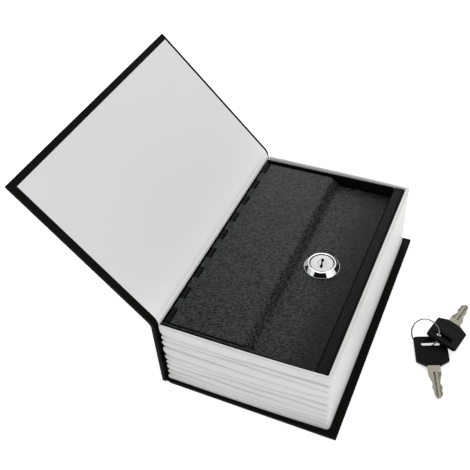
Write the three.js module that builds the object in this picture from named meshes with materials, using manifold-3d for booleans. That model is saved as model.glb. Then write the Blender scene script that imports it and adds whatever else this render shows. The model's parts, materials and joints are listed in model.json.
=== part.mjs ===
// A book safe: a hard-cover book whose page block is a moulded shell around a steel cash box.
// Millimetres, +Z up, +X from the spine to the fore edge, +Y from the near end to the far end.
// The origin is the middle of the back cover's underside. The cover stands open and the lid is shut.

import * as THREE from 'three';
import { mergeVertices } from 'three/addons/utils/BufferGeometryUtils.js';
import Module from 'manifold-3d';

const wasm = await Module();
wasm.setup();

// Book case: boards wrapped in leatherette, with paper liners
const bookLength = 180;
const bookWidth = 116;
const boardThickness = 1.5;
const wrapThickness = 0.4;
const paperThickness = 0.2;
const glueLine = 0.1;
const turnIn = 14;
const coverCornerRadius = 1;
const coverOpening = 133;
const jointBelow = 3;
const jointBeyond = 4;
const jointThickness = 1.9;
const jointGap = 0.3;
const grooveWidth = 3;
const grooveDepth = 1.2;
const linerMarginNear = 4.5;
const linerMarginFar = 1;
const linerMarginFore = 4.5;

// Page shell
const pageHeight = 51.1;
const pageForeWall = 2.5;
const pageEndWall = 1.8;
const pageOverhangEnds = 3.6;
const pageSplay = 1.6;
const pageOverhangFore = 5.5;
const pageStartFromSpine = 4.2;
const pageCornerRadius = 2.4;
const pageInnerCorner = 0.6;
const pageSeat = 0.2;
const pageRimRound = 0.6;
const grooveLevels = [8.4, 12.6, 19.8, 27.2, 32, 37.4, 42.6, 46.6];
const ribDepth = 0.7;
const ribLedge = 0.7;
const ribBulge = 2.5;
const ribWave = 0.35;
const ribWaveLength = 130;
const ribEndDepth = 1.5;
const ribEndReach = 1.4;
const ribRagged = 1.1;
const ribLeastWall = 0.6;
const coverClearance = 0.2;

// Cash box
const boxWall = 1;
const boxGap = 0.3;
const boxBelowRim = 2.2;
const flangeBelowRim = 0.5;
const flangeWidth = 7.7;
const flangeLip = 5.3;
const sheetBend = 1.5;

// Lid and its rolled hinge
const lidThickness = 1;
const lidBelowRim = 1.3;
const lidStep = 6;
const highPanelWidth = 50;
const slopeRun = 4.6;
const lidSkirt = 5;
const lidNearGap = 1.5;
const lidFarGap = 3.1;
const lidSwingGap = 1.4;
const lidBend = 3;
const knuckleRadius = 1.9;
const knuckleStartFromSpine = 4.1;
const knuckleCount = 9;
const knucklePitch = 18.65;
const knuckleLength = 9.1;
const knuckleGap = 0.3;
const knuckleNotch = 0.6;
const rollAngle = 300;
const pinRadius = 0.65;

// Cam lock
const lockInset = 24.3;
const lockTurn = 14;
const bezelRadius = 11.45;
const bezelHeight = 3.1;
const bezelFaceRadius = 9;
const bezelFaceEdge = 0.5;
const bezelEdge = 0.5;
const bezelSeat = 0.15;
const barrelRadius = 9.25;
const barrelFlat = 8;
const barrelLength = 16;
const barrelClearance = 0.3;
const plugRadius = 6;
const plugHeadRadius = 7.55;
const plugHeadThickness = 1.8;
const plugHeadGap = 0.35;
const plugHeadEdge = 0.25;
const plugGrooveRadius = 2.7;
const plugGrooveDepth = 0.15;
const plugClearance = 0.15;
const plugSunk = 0.2;
const keywayDepth = 17.9;
const keywayNeck = 0.5;
const keywayInner = 0.7;
const keywayNeckNear = 1.4;
const keywayNeckFar = 1.2;
const keywayFlare = 0.5;
const waferCount = 5;
const waferPitch = 2.8;
const waferThickness = 0.9;
const waferWidth = 4;
const waferWindow = 6.2;
const waferWindowWidth = 2.8;
const waferOffset = 0.4;
const waferThrow = 0.8;
const waferClearance = 0.15;
const waferFirstDepth = 4.4;
const washerThickness = 0.8;
const washerRim = 2.2;
const washerTooth = 1;
const washerTeeth = 12;
const nutThickness = 3.2;
const nutAcrossFlats = 22;
const stackGap = 0.2;
const tailWidth = 6.6;
const stopThickness = 0.8;
const stopDiscRadius = 7;
const stopArmRadius = 8.8;
const stopArmWidth = 3.5;
const camThickness = 1.6;
const camRootRadius = 6.5;
const camTipWidth = 8;
const camTipCorner = 1.5;
const camOverlap = 6;
const screwHeadRadius = 4.4;
const screwHeadHeight = 2;
const screwHeadEdge = 0.9;
const screwRadius = 1.7;
const screwCrossReach = 2;
const screwCrossWidth = 0.8;
const screwCrossDepth = 1.1;
const screwTipRoom = 0.3;
const keywayFloor = 1;
const catchReach = 10;
const catchHeight = 12;
const catchLength = 30;
const catchThickness = 1.2;
const catchClearance = 0.6;

// Keys and their split ring
const keyHeadWidth = 20.8;
const keyHeadHeight = 22;
const keyHeadThickness = 2.8;
const keyHeadCorner = 2;
const keyHeadBevel = 0.4;
const keyNeckWidth = 8.8;
const keyNeckRise = 3.5;
const keySlotLength = 13.5;
const keySlotWidth = 4.6;
const keySlotFromTop = 4.8;
const keyPanelDepth = 0.25;
const keyPanelBorder = 2.2;
const bladeWidth = 8;
const bladeLength = 22.8;
const bladeThickness = 1.8;
const bladeTang = 10;
const bladeTangWidth = 6;
const bladeClearance = 0.15;
const bladeTipRoom = 0.3;
const bladeCutFlat = 1.1;
const bladeTipHalf = 0.8;
const bladeTipTaper = 1.1;
const ringRadius = 9;
const ringWireRadius = 0.28;
const ringCoilGap = 0.42;
const ringSteps = 24;
const ringSides = 6;
const ringClimb = 45;

// Where the keys and the ring lie on the table beside the book
const keyPlaces = {
  a: { base: [98.95, -18.65, 3], pitch: 3.66, roll: -3.07, turn: 20.24 },
  b: { base: [103.87, 17.3, 5.77], pitch: 9.89, roll: -9.92, turn: 167.52 },
};
const ringPlace = { centre: [88.39, 2.07, 7.23], tilt: 47.1, heading: -106.5, step: 150 };

// Worked out from the sizes above
const coverThickness = boardThickness + 2 * (wrapThickness + glueLine);
const linerThickness = paperThickness + glueLine;
const spineX = -bookWidth / 2;
const foreX = bookWidth / 2;
const endY = bookLength / 2;
const pageBottom = coverThickness + pageSeat;
const pageTop = pageBottom + pageHeight;
const pageEndY = endY - pageOverhangEnds;
const pageForeX = foreX - pageOverhangFore;
const pageStartX = spineX + pageStartFromSpine;
const coverAxisX = spineX + coverThickness / 2;
const coverAxisZ = pageTop + coverClearance + linerThickness + coverThickness / 2;
const spineTop = coverAxisZ - jointBelow;
const boxLeft = spineX + knuckleStartFromSpine;
const boxRight = pageForeX - pageForeWall - boxGap;
const boxEndY = pageEndY - pageEndWall - boxGap;
const boxBottom = coverThickness + pageSeat;
const boxTop = pageTop - boxBelowRim;
const flangeTop = pageTop - flangeBelowRim;
const flangeLeft = boxRight - flangeWidth;
const lidTop = pageTop - lidBelowRim;
const lowTop = lidTop - lidStep;
const pinX = boxLeft + knuckleRadius;
const pinZ = lidTop - knuckleRadius;
const lidRight = flangeLeft - lidSwingGap;
const lidNear = -boxEndY + boxWall + lidNearGap;
const lidFar = boxEndY - boxWall - lidFarGap;
const lidMid = (lidNear + lidFar) / 2;
const bendX = pinX + highPanelWidth;
const lockX = flangeLeft - lockInset;
const lockY = lidMid;
const stopTop = -barrelLength - stackGap;
const camTop = stopTop - stopThickness - stackGap;
const camBottom = camTop - camThickness;
const catchLeft = boxRight - boxWall - catchReach;
const camLength = (catchLeft + camOverlap - lockX) / Math.cos(THREE.MathUtils.degToRad(lockTurn));

// Colours and finishes
const finish = (color, roughness, metalness) =>
  new THREE.MeshStandardMaterial({ color, roughness, metalness });
const materials = {
  leatherette: finish(0x151513, 0.55, 0),
  board: finish(0x8c8378, 0.9, 0),
  liner: finish(0xd6d6d8, 0.7, 0),
  pages: finish(0xdcddd6, 0.5, 0),
  paintedSteel: finish(0x2b2f2f, 0.5, 0.3),
  steel: finish(0x9a9a98, 0.35, 1),
  chrome: finish(0xd8dade, 0.12, 1),
  brass: finish(0xb59a55, 0.3, 1),
  nickel: finish(0xa89c86, 0.35, 1),
  blackPlastic: finish(0x121212, 0.4, 0),
};

// Solids and booleans
function toSolid(geometry) {
  const bare = geometry.clone();
  bare.deleteAttribute('normal');
  bare.deleteAttribute('uv');
  const merged = mergeVertices(bare, 1e-5);
  return new wasm.Manifold(new wasm.Mesh({
    numProp: 3,
    vertProperties: new Float32Array(merged.attributes.position.array),
    triVerts: new Uint32Array(merged.index.array),
  }));
}

function toGeometry(solid) {
  const mesh = solid.getMesh();
  const geometry = new THREE.BufferGeometry();
  geometry.setAttribute('position', new THREE.BufferAttribute(mesh.vertProperties, 3));
  geometry.setIndex(new THREE.BufferAttribute(mesh.triVerts, 1));
  return geometry;
}

const join = (...geometries) => geometries.map(toSolid).reduce((a, b) => a.add(b));
const cut = (solid, ...geometries) => geometries.map(toSolid).reduce((a, b) => a.subtract(b), solid);

function block(x0, x1, y0, y1, z0, z1) {
  const geometry = new THREE.BoxGeometry(x1 - x0, y1 - y0, z1 - z0);
  return geometry.translate((x0 + x1) / 2, (y0 + y1) / 2, (z0 + z1) / 2);
}

function rectangle(x0, x1, y0, y1) {
  const corners = [[x0, y0], [x1, y0], [x1, y1], [x0, y1]];
  return new THREE.Shape(corners.map(([x, y]) => new THREE.Vector2(x, y)));
}

function roundedRectangle(x0, x1, y0, y1, radius) {
  const shape = new THREE.Shape();
  shape.moveTo(x0 + radius, y0);
  shape.lineTo(x1 - radius, y0);
  shape.absarc(x1 - radius, y0 + radius, radius, -Math.PI / 2, 0);
  shape.lineTo(x1, y1 - radius);
  shape.absarc(x1 - radius, y1 - radius, radius, 0, Math.PI / 2);
  shape.lineTo(x0 + radius, y1);
  shape.absarc(x0 + radius, y1 - radius, radius, Math.PI / 2, Math.PI);
  shape.lineTo(x0, y0 + radius);
  shape.absarc(x0 + radius, y0 + radius, radius, Math.PI, Math.PI * 1.5);
  return shape;
}

function extrudeUp(shape, z0, z1, curveSegments = 6) {
  const options = { depth: z1 - z0, bevelEnabled: false, curveSegments };
  return new THREE.ExtrudeGeometry(shape, options).translate(0, 0, z0);
}

// A profile drawn in X and Z, run along Y
function extrudeAlong(shape, y0, y1, curveSegments = 6) {
  const options = { depth: y1 - y0, bevelEnabled: false, curveSegments };
  return new THREE.ExtrudeGeometry(shape, options).rotateX(Math.PI / 2).translate(0, y1, 0);
}

function cylinder(radius, z0, z1, sides = 48) {
  const geometry = new THREE.CylinderGeometry(radius, radius, z1 - z0, sides);
  return geometry.rotateX(Math.PI / 2).translate(0, 0, (z0 + z1) / 2);
}

function latheUp(points, sides = 48) {
  const profile = points.map(([r, z]) => new THREE.Vector2(r, z));
  return new THREE.LatheGeometry(profile, sides).rotateX(Math.PI / 2);
}

// The outline of a folded sheet: corner points along its middle, with a bend radius at each fold
function foldedSheet(corners, thickness, bend, steps = 5) {
  const points = corners.map(([x, y]) => new THREE.Vector2(x, y));
  const middle = [points[0]];
  for (let i = 1; i < points.length - 1; i++) {
    const before = points[i - 1].clone().sub(points[i]).normalize();
    const after = points[i + 1].clone().sub(points[i]).normalize();
    const half = Math.acos(before.dot(after)) / 2;
    const reach = bend / Math.tan(half);
    const start = before.multiplyScalar(reach).add(points[i]);
    const end = after.multiplyScalar(reach).add(points[i]);
    const curve = new THREE.QuadraticBezierCurve(start, points[i], end);
    middle.push(...curve.getPoints(steps));
  }
  middle.push(points[points.length - 1]);
  const side = middle.map((point, i) => {
    const from = middle[Math.max(i - 1, 0)];
    const to = middle[Math.min(i + 1, middle.length - 1)];
    const along = to.clone().sub(from).normalize();
    return new THREE.Vector2(-along.y, along.x).multiplyScalar(thickness / 2);
  });
  const left = middle.map((point, i) => point.clone().add(side[i]));
  const right = middle.map((point, i) => point.clone().sub(side[i]));
  return new THREE.Shape([...right, ...left.reverse()]);
}

// Joins closed sections of equal point count into one solid, with flat or ragged ends
function loft(sections, capShape) {
  const count = sections[0].length;
  const positions = [];
  const index = [];
  sections.forEach((section) => section.forEach((p) => positions.push(p.x, p.y, p.z)));
  for (let s = 0; s < sections.length - 1; s++) {
    for (let i = 0; i < count; i++) {
      const a = s * count + i;
      const b = s * count + ((i + 1) % count);
      index.push(a, b + count, b, a, a + count, b + count);
    }
  }
  const caps = THREE.ShapeUtils.triangulateShape(capShape, []);
  const last = (sections.length - 1) * count;
  caps.forEach(([a, b, c]) => index.push(a, c, b, last + a, last + b, last + c));
  const geometry = new THREE.BufferGeometry();
  geometry.setAttribute('position', new THREE.Float32BufferAttribute(positions, 3));
  geometry.setIndex(index);
  return geometry;
}

const book = new THREE.Group();

function add(name, shape, material, parent = book) {
  const geometry = shape.isBufferGeometry ? shape : toGeometry(shape);
  const mesh = new THREE.Mesh(geometry, material);
  mesh.name = name;
  parent.add(mesh);
  return mesh;
}

// Front cover, drawn shut, with its joint line at the group's origin
const cover = new THREE.Group();
cover.position.set(coverAxisX, 0, coverAxisZ);
cover.rotation.y = -THREE.MathUtils.degToRad(coverOpening);
book.add(cover);

function addFrontCover() {
  const x0 = jointBeyond;
  const x1 = foreX - coverAxisX;
  const outer = coverThickness / 2;
  const core = boardThickness / 2;
  const edge = wrapThickness + glueLine;
  const past = 1;
  const slab = roundedRectangle(x0, x1, -endY, endY, coverCornerRadius);
  const board = roundedRectangle(x0, x1 - edge, -endY + edge, endY - edge, coverCornerRadius / 2);
  add('front_board', extrudeUp(board, -core, core), materials.board, cover);

  const pocket = block(x0 - past, x1 - wrapThickness, -endY + wrapThickness, endY - wrapThickness,
    -core - glueLine, core + glueLine);
  const window = block(x0 - past, x1 - turnIn, -endY + turnIn, endY - turnIn, -outer - past, 0);
  const wrap = cut(toSolid(extrudeUp(slab, -outer, outer)), pocket, window);
  add('front_wrap', wrap, materials.leatherette, cover);

  const liner = block(x0, x1 - linerMarginFore, -endY + linerMarginNear, endY - linerMarginFar,
    -outer - linerThickness, -outer - glueLine);
  add('front_endpaper', liner, materials.liner, cover);
}

// The strip without a board that bends as the cover opens
function addCoverJoint() {
  const opening = THREE.MathUtils.degToRad(coverOpening);
  const reach = jointBeyond - jointGap;
  const start = new THREE.Vector2(coverAxisX, spineTop + jointGap);
  const axis = new THREE.Vector2(coverAxisX, coverAxisZ);
  const end = new THREE.Vector2(Math.cos(opening), Math.sin(opening)).multiplyScalar(reach).add(axis);
  const middle = new THREE.QuadraticBezierCurve(start, axis, end).getPoints(8);
  const strip = foldedSheet(middle.map((p) => [p.x, p.y]), jointThickness, 0.01, 1);
  add('cover_joint', extrudeAlong(strip, -endY, endY), materials.leatherette);
}

// Back and spine boards in one wrap, with the joint groove between them
function addBackAndSpine() {
  const edge = wrapThickness + glueLine;
  const grooveX = spineX + coverThickness + grooveWidth / 2;
  const backStart = grooveX + grooveWidth / 2;
  const spineStart = coverThickness;
  const past = 1;
  const coreTop = coverThickness - edge;

  const back = roundedRectangle(backStart + glueLine, foreX - edge, -endY + edge, endY - edge,
    coverCornerRadius / 2);
  add('back_board', extrudeUp(back, edge, coreTop), materials.board);
  const spine = block(spineX + edge, spineX + coreTop, -endY + edge, endY - edge,
    spineStart + glueLine, spineTop);
  add('spine_board', spine, materials.board);

  const base = roundedRectangle(spineX, foreX, -endY, endY, coverCornerRadius);
  const outside = join(extrudeUp(base, 0, coverThickness),
    block(spineX, spineX + coverThickness, -endY, endY, coverCornerRadius, spineTop));
  const groove = new THREE.CylinderGeometry(grooveWidth / 2, grooveWidth / 2, bookLength + past, 16)
    .scale(1, 1, grooveDepth / (grooveWidth / 2)).translate(grooveX, 0, 0);
  const backPocket = block(backStart, foreX - wrapThickness, -endY + wrapThickness,
    endY - wrapThickness, wrapThickness, coverThickness - wrapThickness);
  const backWindow = block(backStart, foreX - turnIn, -endY + turnIn, endY - turnIn,
    coverThickness / 2, coverThickness + past);
  const spinePocket = block(spineX + wrapThickness, spineX + coverThickness - wrapThickness,
    -endY + wrapThickness, endY - wrapThickness, spineStart, spineTop + past);
  const spineWindow = block(spineX + coverThickness / 2, spineX + coverThickness + past,
    -endY + turnIn, endY - turnIn, spineStart, spineTop + past);
  const wrap = cut(outside, groove, backPocket, backWindow, spinePocket, spineWindow);
  add('case_wrap', wrap, materials.leatherette);

  const linerX = spineX + coverThickness + glueLine;
  const liner = block(linerX, linerX + paperThickness, -endY + linerMarginNear,
    endY - linerMarginFar, spineStart + glueLine, spineTop);
  add('spine_endpaper', liner, materials.liner);
}

// How far a groove draws in the page edges at a height above it: a short ledge below, a long bulge above
function grooveShare(above) {
  if (above < 0) return Math.exp(-((above / ribLedge) ** 2));
  return 0.5 * Math.exp(-above / ribBulge) + 0.5 * Math.exp(-((above / ribLedge) ** 2));
}

// The grooves of one end wall: their levels wander along the wall and they open out at the spine
function grooveRows(along, phase, ribs) {
  const fromSpine = along - pageStartX;
  const atSpine = Math.exp(-fromSpine / ribEndReach);
  const turn = (2 * Math.PI * along) / ribWaveLength;
  const grooves = grooveLevels.filter((level) => level < pageHeight - ribLedge * 3).map((level, k) => ({
    z: pageTop - level + ribWave * Math.sin(turn + 1.9 * k + phase),
    depth: ribs * ribDepth * (1 + 0.3 * Math.sin(1.7 * k + turn + phase) + ribEndDepth * atSpine),
  }));
  const sink = (z) => Math.min(pageEndWall - ribLeastWall,
    grooves.reduce((sum, groove) => sum + groove.depth * grooveShare(z - groove.z), 0));
  const offsets = [ribBulge / 2, ribLedge / 2, 0, -ribLedge / 2, -ribLedge, -ribLedge * 2];
  const levels = grooves.flatMap(({ z }) => offsets.map((offset) => z + offset));
  return [pageTop - pageRimRound, ...levels, pageBottom].map((z) => ({ z, sink: sink(z) })).reverse();
}

// Three moulded walls run round as one section: ribs on the two ends, which splay out a little
// towards the spine, and a smooth fore edge
function addPageShell() {
  const wallSteps = 11;
  const cornerSteps = 5;
  const cornerX = pageForeX - pageCornerRadius;
  const cornerY = pageEndY - pageCornerRadius;
  const innerX = pageForeX - pageForeWall - pageInnerCorner;
  const innerY = pageEndY - pageEndWall - pageInnerCorner;
  const wallLength = cornerX - pageStartX;
  const nearSpine = [0, ribEndReach / 2, ribEndReach * 1.5].map((from) => from / wallLength);
  const evenly = Array.from({ length: wallSteps }, (_, i) => (i + 1) / wallSteps);
  const stations = [...nearSpine, ...evenly].map((share) => {
    const x = THREE.MathUtils.lerp(pageStartX, cornerX, share);
    const innerAt = THREE.MathUtils.lerp(pageStartX, innerX, share);
    const y = -pageEndY - pageSplay * (1 - share ** 3);
    return { ends: [[x, y], [innerAt, y + pageEndWall]], normal: [0, -1], ribs: 1 };
  });
  for (let i = 1; i <= cornerSteps; i++) {
    const angle = -Math.PI / 2 + (Math.PI / 2) * (i / cornerSteps);
    const [c, s] = [Math.cos(angle), Math.sin(angle)];
    const outerPoint = [cornerX + pageCornerRadius * c, -cornerY + pageCornerRadius * s];
    const innerPoint = [innerX + pageInnerCorner * c, -innerY + pageInnerCorner * s];
    const fade = Math.max(0, 1 - (2 * i) / cornerSteps);
    stations.push({ ends: [outerPoint, innerPoint], normal: [c, s], ribs: fade });
  }
  const mirrored = [...stations].reverse().map(({ ends, normal, ribs }) => ({
    ends: ends.map(([x, y]) => [x, -y]), normal: [normal[0], -normal[1]], ribs,
  }));
  const turn = pageRimRound * (1 - Math.SQRT1_2);
  const sections = [...stations, ...mirrored].map(({ ends, normal, ribs }) => {
    const [[ox, oy], [ix, iy]] = ends;
    const wall = Math.hypot(ox - ix, oy - iy);
    const ragged = Math.max(0, 1 - (ox - pageStartX) / ribEndReach);
    const section = [];
    const put = (t, sink, z, rag = 0) => {
      const x = THREE.MathUtils.lerp(ox, ix, t) - normal[0] * sink + ragged * rag;
      const y = THREE.MathUtils.lerp(oy, iy, t) - normal[1] * sink;
      section.push(new THREE.Vector3(x, y, z));
    };
    grooveRows(ox, oy > 0 ? 2.2 : 0, ribs).forEach(({ z, sink }) => {
      put(0, sink, z, ribRagged * Math.min(1, sink / (ribDepth * (1 + ribEndDepth))));
    });
    put(0, turn, pageTop - turn);
    put(pageRimRound / wall, 0, pageTop);
    put(1 - pageRimRound / 2 / wall, 0, pageTop);
    put(1, 0, pageTop - pageRimRound / 2);
    put(1, 0, pageBottom);
    return section;
  });
  const capShape = sections[0].map((point) => new THREE.Vector2(point.y, point.z));
  add('page_shell', loft(sections, capShape), materials.pages);
}

// Where the box's knuckles lie along the hinge; the end ones run on to the lid's ends
function boxKnuckles() {
  const half = knuckleLength / 2;
  const middle = (knuckleCount - 1) / 2;
  return Array.from({ length: knuckleCount }, (_, k) => {
    const centre = lidMid + (k - middle) * knucklePitch;
    const from = k === 0 ? lidNear : centre - half;
    const to = k === knuckleCount - 1 ? lidFar : centre + half;
    return [from, to];
  });
}

// A sheet that runs straight and then rolls round the hinge pin
function rolledKnuckle(legLength, start, direction) {
  const outer = knuckleRadius;
  const inner = knuckleRadius - lidThickness;
  const turn = direction * THREE.MathUtils.degToRad(rollAngle);
  const clockwise = direction < 0;
  const leg = new THREE.Vector2(Math.sin(start), -Math.cos(start)).multiplyScalar(direction * legLength);
  const at = (radius) => new THREE.Vector2(pinX + radius * Math.cos(start), pinZ + radius * Math.sin(start));
  const shape = new THREE.Shape();
  const outerLeg = at(outer).add(leg);
  const innerLeg = at(inner).add(leg);
  shape.moveTo(outerLeg.x, outerLeg.y);
  shape.absarc(pinX, pinZ, outer, start, start + turn, clockwise);
  shape.absarc(pinX, pinZ, inner, start + turn, start, !clockwise);
  shape.lineTo(innerLeg.x, innerLeg.y);
  return shape;
}

function addBox() {
  const past = 2;
  const overlap = boxWall / 2;
  const wallCutZ = pinZ - knuckleRadius - knuckleGap;
  const pan = cut(toSolid(block(boxLeft, boxRight, -boxEndY, boxEndY, boxBottom, boxTop)),
    block(boxLeft + boxWall, boxRight - boxWall, -boxEndY + boxWall, boxEndY - boxWall,
      boxBottom + boxWall, boxTop + past),
    block(boxLeft - past, boxLeft + boxWall + overlap, lidNear - lidNearGap, boxEndY - boxWall,
      wallCutZ, boxTop + past));

  const half = boxWall / 2;
  const flange = foldedSheet([
    [boxRight - half, boxTop - past],
    [boxRight - half, flangeTop - half],
    [flangeLeft + half, flangeTop - half],
    [flangeLeft + half, flangeTop - flangeLip],
  ], boxWall, sheetBend);
  const endOverlap = boxEndY - boxWall + overlap;
  let body = pan.add(toSolid(extrudeAlong(flange, -endOverlap, endOverlap)));
  const knuckle = rolledKnuckle(pinZ - wallCutZ + overlap, Math.PI, -1);
  boxKnuckles().forEach(([from, to]) => {
    body = body.add(toSolid(extrudeAlong(knuckle, from, to, 10)));
  });
  add('box_body', body, materials.paintedSteel);

  const catchZ = lowTop + camTop + catchClearance;
  const wallFace = boxRight - boxWall - glueLine;
  const angle = foldedSheet([
    [catchLeft, catchZ + catchThickness / 2],
    [wallFace - catchThickness / 2, catchZ + catchThickness / 2],
    [wallFace - catchThickness / 2, catchZ + catchHeight],
  ], catchThickness, sheetBend);
  const catchY = lockY + catchLength / 6;
  add('catch_bracket', extrudeAlong(angle, catchY - catchLength / 2, catchY + catchLength / 2),
    materials.steel);
}

function lidProfile(thickness, drop) {
  const half = lidThickness / 2;
  const high = lidTop - half - drop;
  const low = lowTop - half - drop;
  const left = pinX + knuckleRadius + knuckleNotch;
  return foldedSheet([[left, high], [bendX, high], [bendX + slopeRun, low], [lidRight, low]],
    thickness, lidBend);
}

function addLid() {
  const half = lidThickness / 2;
  const past = 2;
  const panelLeft = pinX + knuckleRadius + knuckleNotch;
  let lid = toSolid(extrudeAlong(lidProfile(lidThickness, 0), lidNear, lidFar));
  const skirtDrop = (lidSkirt + half) / 2;
  const skirt = lidProfile(lidSkirt + half, skirtDrop);
  lid = lid.add(toSolid(extrudeAlong(skirt, lidNear, lidNear + lidThickness)));
  lid = lid.add(toSolid(extrudeAlong(skirt, lidFar - lidThickness, lidFar)));
  lid = lid.add(toSolid(block(lidRight - lidThickness, lidRight, lidNear, lidFar,
    lowTop - lidThickness - lidSkirt, lowTop - half)));

  const knuckle = rolledKnuckle(panelLeft - pinX + half, Math.PI / 2, 1);
  const spans = boxKnuckles();
  for (let k = 0; k < spans.length - 1; k++) {
    const from = spans[k][1] + knuckleGap;
    const to = spans[k + 1][0] - knuckleGap;
    lid = lid.add(toSolid(extrudeAlong(knuckle, from, to, 10)));
  }
  const hole = roundWithFlats(barrelRadius + barrelClearance, barrelFlat + barrelClearance);
  const drill = extrudeUp(hole, lowTop - lidThickness - past, lowTop + past, 24)
    .applyMatrix4(lockPlace(0));
  add('lid', cut(lid, drill), materials.paintedSteel);

  const pin = new THREE.CylinderGeometry(pinRadius, pinRadius, lidFar - lidNear, 16);
  add('hinge_pin', pin.translate(pinX, lidMid, pinZ), materials.steel);
}

// A circle with two opposite flats
function roundWithFlats(radius, flat) {
  const angle = Math.acos(flat / radius);
  const shape = new THREE.Shape();
  shape.absarc(0, 0, radius, angle, Math.PI - angle);
  shape.absarc(0, 0, radius, Math.PI + angle, 2 * Math.PI - angle);
  return shape;
}

// The lock stands on the low panel, turned a little off square
function lockPlace(z) {
  const turn = new THREE.Matrix4().makeRotationZ(THREE.MathUtils.degToRad(lockTurn));
  return new THREE.Matrix4().makeTranslation(lockX, lockY, z).multiply(turn);
}

const lock = new THREE.Group();
lock.position.set(lockX, lockY, lowTop);
lock.rotation.z = THREE.MathUtils.degToRad(lockTurn);
book.add(lock);

const plugHeadBottom = bezelHeight - plugSunk - plugHeadThickness;
const boreRadius = plugRadius + plugClearance;
const recessRadius = plugHeadRadius + plugHeadGap;
const wafers = Array.from({ length: waferCount }, (_, k) => ({
  level: bezelHeight - waferFirstDepth - k * waferPitch,
  offset: k % 2 ? waferOffset : -waferOffset,
}));

function addHousing() {
  const recessFloor = plugHeadBottom - stackGap;
  const profile = [
    [boreRadius, -barrelLength],
    [barrelRadius, -barrelLength],
    [barrelRadius, bezelSeat],
    [bezelRadius, bezelSeat],
    [bezelRadius, bezelEdge],
    [bezelFaceRadius + bezelFaceEdge / 2, bezelHeight - bezelFaceEdge],
    [bezelFaceRadius - bezelFaceEdge / 2, bezelHeight],
    [recessRadius, bezelHeight],
    [recessRadius, recessFloor],
    [boreRadius, recessFloor],
    [boreRadius, -barrelLength],
  ];
  const past = 1;
  const slotHalf = waferWidth / 2 + 2 * waferClearance;
  const slotReach = plugRadius + waferThrow + 2 * waferClearance;
  const slotBottom = wafers[waferCount - 1].level - waferThickness;
  const slotTop = wafers[0].level + waferThickness;
  const flatCut = (side) => block(side > 0 ? barrelFlat : -barrelRadius - past,
    side > 0 ? barrelRadius + past : -barrelFlat, -bezelRadius, bezelRadius,
    -barrelLength - past, bezelSeat);
  const body = cut(toSolid(latheUp(profile)), flatCut(1), flatCut(-1),
    block(-slotHalf, slotHalf, -slotReach, slotReach, slotBottom, slotTop),
    block(-slotReach, slotReach, -slotHalf, slotHalf, slotBottom, slotTop));

  const armHalf = Math.asin(stopArmWidth / 2 / stopDiscRadius) + THREE.MathUtils.degToRad(2);
  const stop = new THREE.Shape();
  const stopInner = stopDiscRadius + stackGap * 2;
  const from = armHalf;
  const to = Math.PI * 1.5 - armHalf;
  stop.absarc(0, 0, barrelRadius, from, to);
  stop.absarc(0, 0, stopInner, to, from, true);
  const lug = toSolid(extrudeUp(stop, -barrelLength - stopThickness, -barrelLength + stackGap, 24))
    .intersect(toSolid(block(-barrelFlat, barrelFlat, -bezelRadius, bezelRadius,
      -barrelLength - past, past)));
  add('lock_housing', body.add(lug), materials.chrome, lock);
}

// The warded section: two fatter ends set off to either side of a narrow middle
function keywayShape(inset) {
  const half = bladeWidth / 2 + bladeClearance - inset;
  const inner = keywayInner - inset;
  const neck = keywayNeck - inset;
  const reach = bladeThickness / 2 + bladeClearance - inset;
  const right = [
    [inner, -half], [inner, -keywayNeckNear - keywayFlare], [neck, -keywayNeckNear],
    [neck, keywayNeckFar], [reach, keywayNeckFar + keywayFlare], [reach, half],
  ];
  const left = right.map(([x, y]) => [-x, -y]);
  return new THREE.Shape([...right, ...left].map(([x, y]) => new THREE.Vector2(x, y)));
}

function addPlug() {
  const tailBottom = camBottom + stackGap * 1.5;
  const face = bezelHeight - plugSunk;
  const profile = [
    [0, -barrelLength],
    [plugRadius, -barrelLength],
    [plugRadius, plugHeadBottom],
    [plugHeadRadius, plugHeadBottom],
    [plugHeadRadius, face - plugHeadEdge],
    [plugHeadRadius - plugHeadEdge, face],
    [plugGrooveRadius + plugGrooveDepth, face],
    [plugGrooveRadius, face - plugGrooveDepth],
    [plugGrooveRadius - plugGrooveDepth, face],
    [0, face],
  ];
  const half = tailWidth / 2;
  const chamberHalf = waferThickness / 2 + waferClearance;
  const chambers = wafers.map(({ level }) => block(-waferWidth / 2 - waferClearance,
    waferWidth / 2 + waferClearance, -plugHeadRadius, plugHeadRadius, level - chamberHalf,
    level + chamberHalf));
  const past = 1;
  const tail = block(-half, half, -half, half, tailBottom, -barrelLength + past);
  const plug = cut(join(latheUp(profile), tail),
    extrudeUp(keywayShape(0), bezelHeight - keywayDepth, bezelHeight + past),
    cylinder(screwRadius + barrelClearance, tailBottom - past, bezelHeight - keywayDepth - keywayFloor, 24),
    ...chambers);
  add('lock_plug', plug, materials.chrome, lock);

  wafers.forEach(({ level, offset }, k) => {
    const end = plugRadius - waferClearance;
    const angle = Math.asin(waferWidth / 2 / end);
    const half = waferWindow / 2;
    const plate = new THREE.Shape();
    plate.absarc(0, 0, end, Math.PI / 2 - angle, Math.PI / 2 + angle);
    plate.absarc(0, 0, end, Math.PI * 1.5 - angle, Math.PI * 1.5 + angle);
    plate.holes.push(rectangle(-waferWindowWidth / 2, waferWindowWidth / 2, offset - half, offset + half));
    const plateGeometry = extrudeUp(plate, level - waferThickness / 2, level + waferThickness / 2);
    add(`wafer_${k + 1}`, plateGeometry, materials.brass, lock);
  });
}

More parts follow.
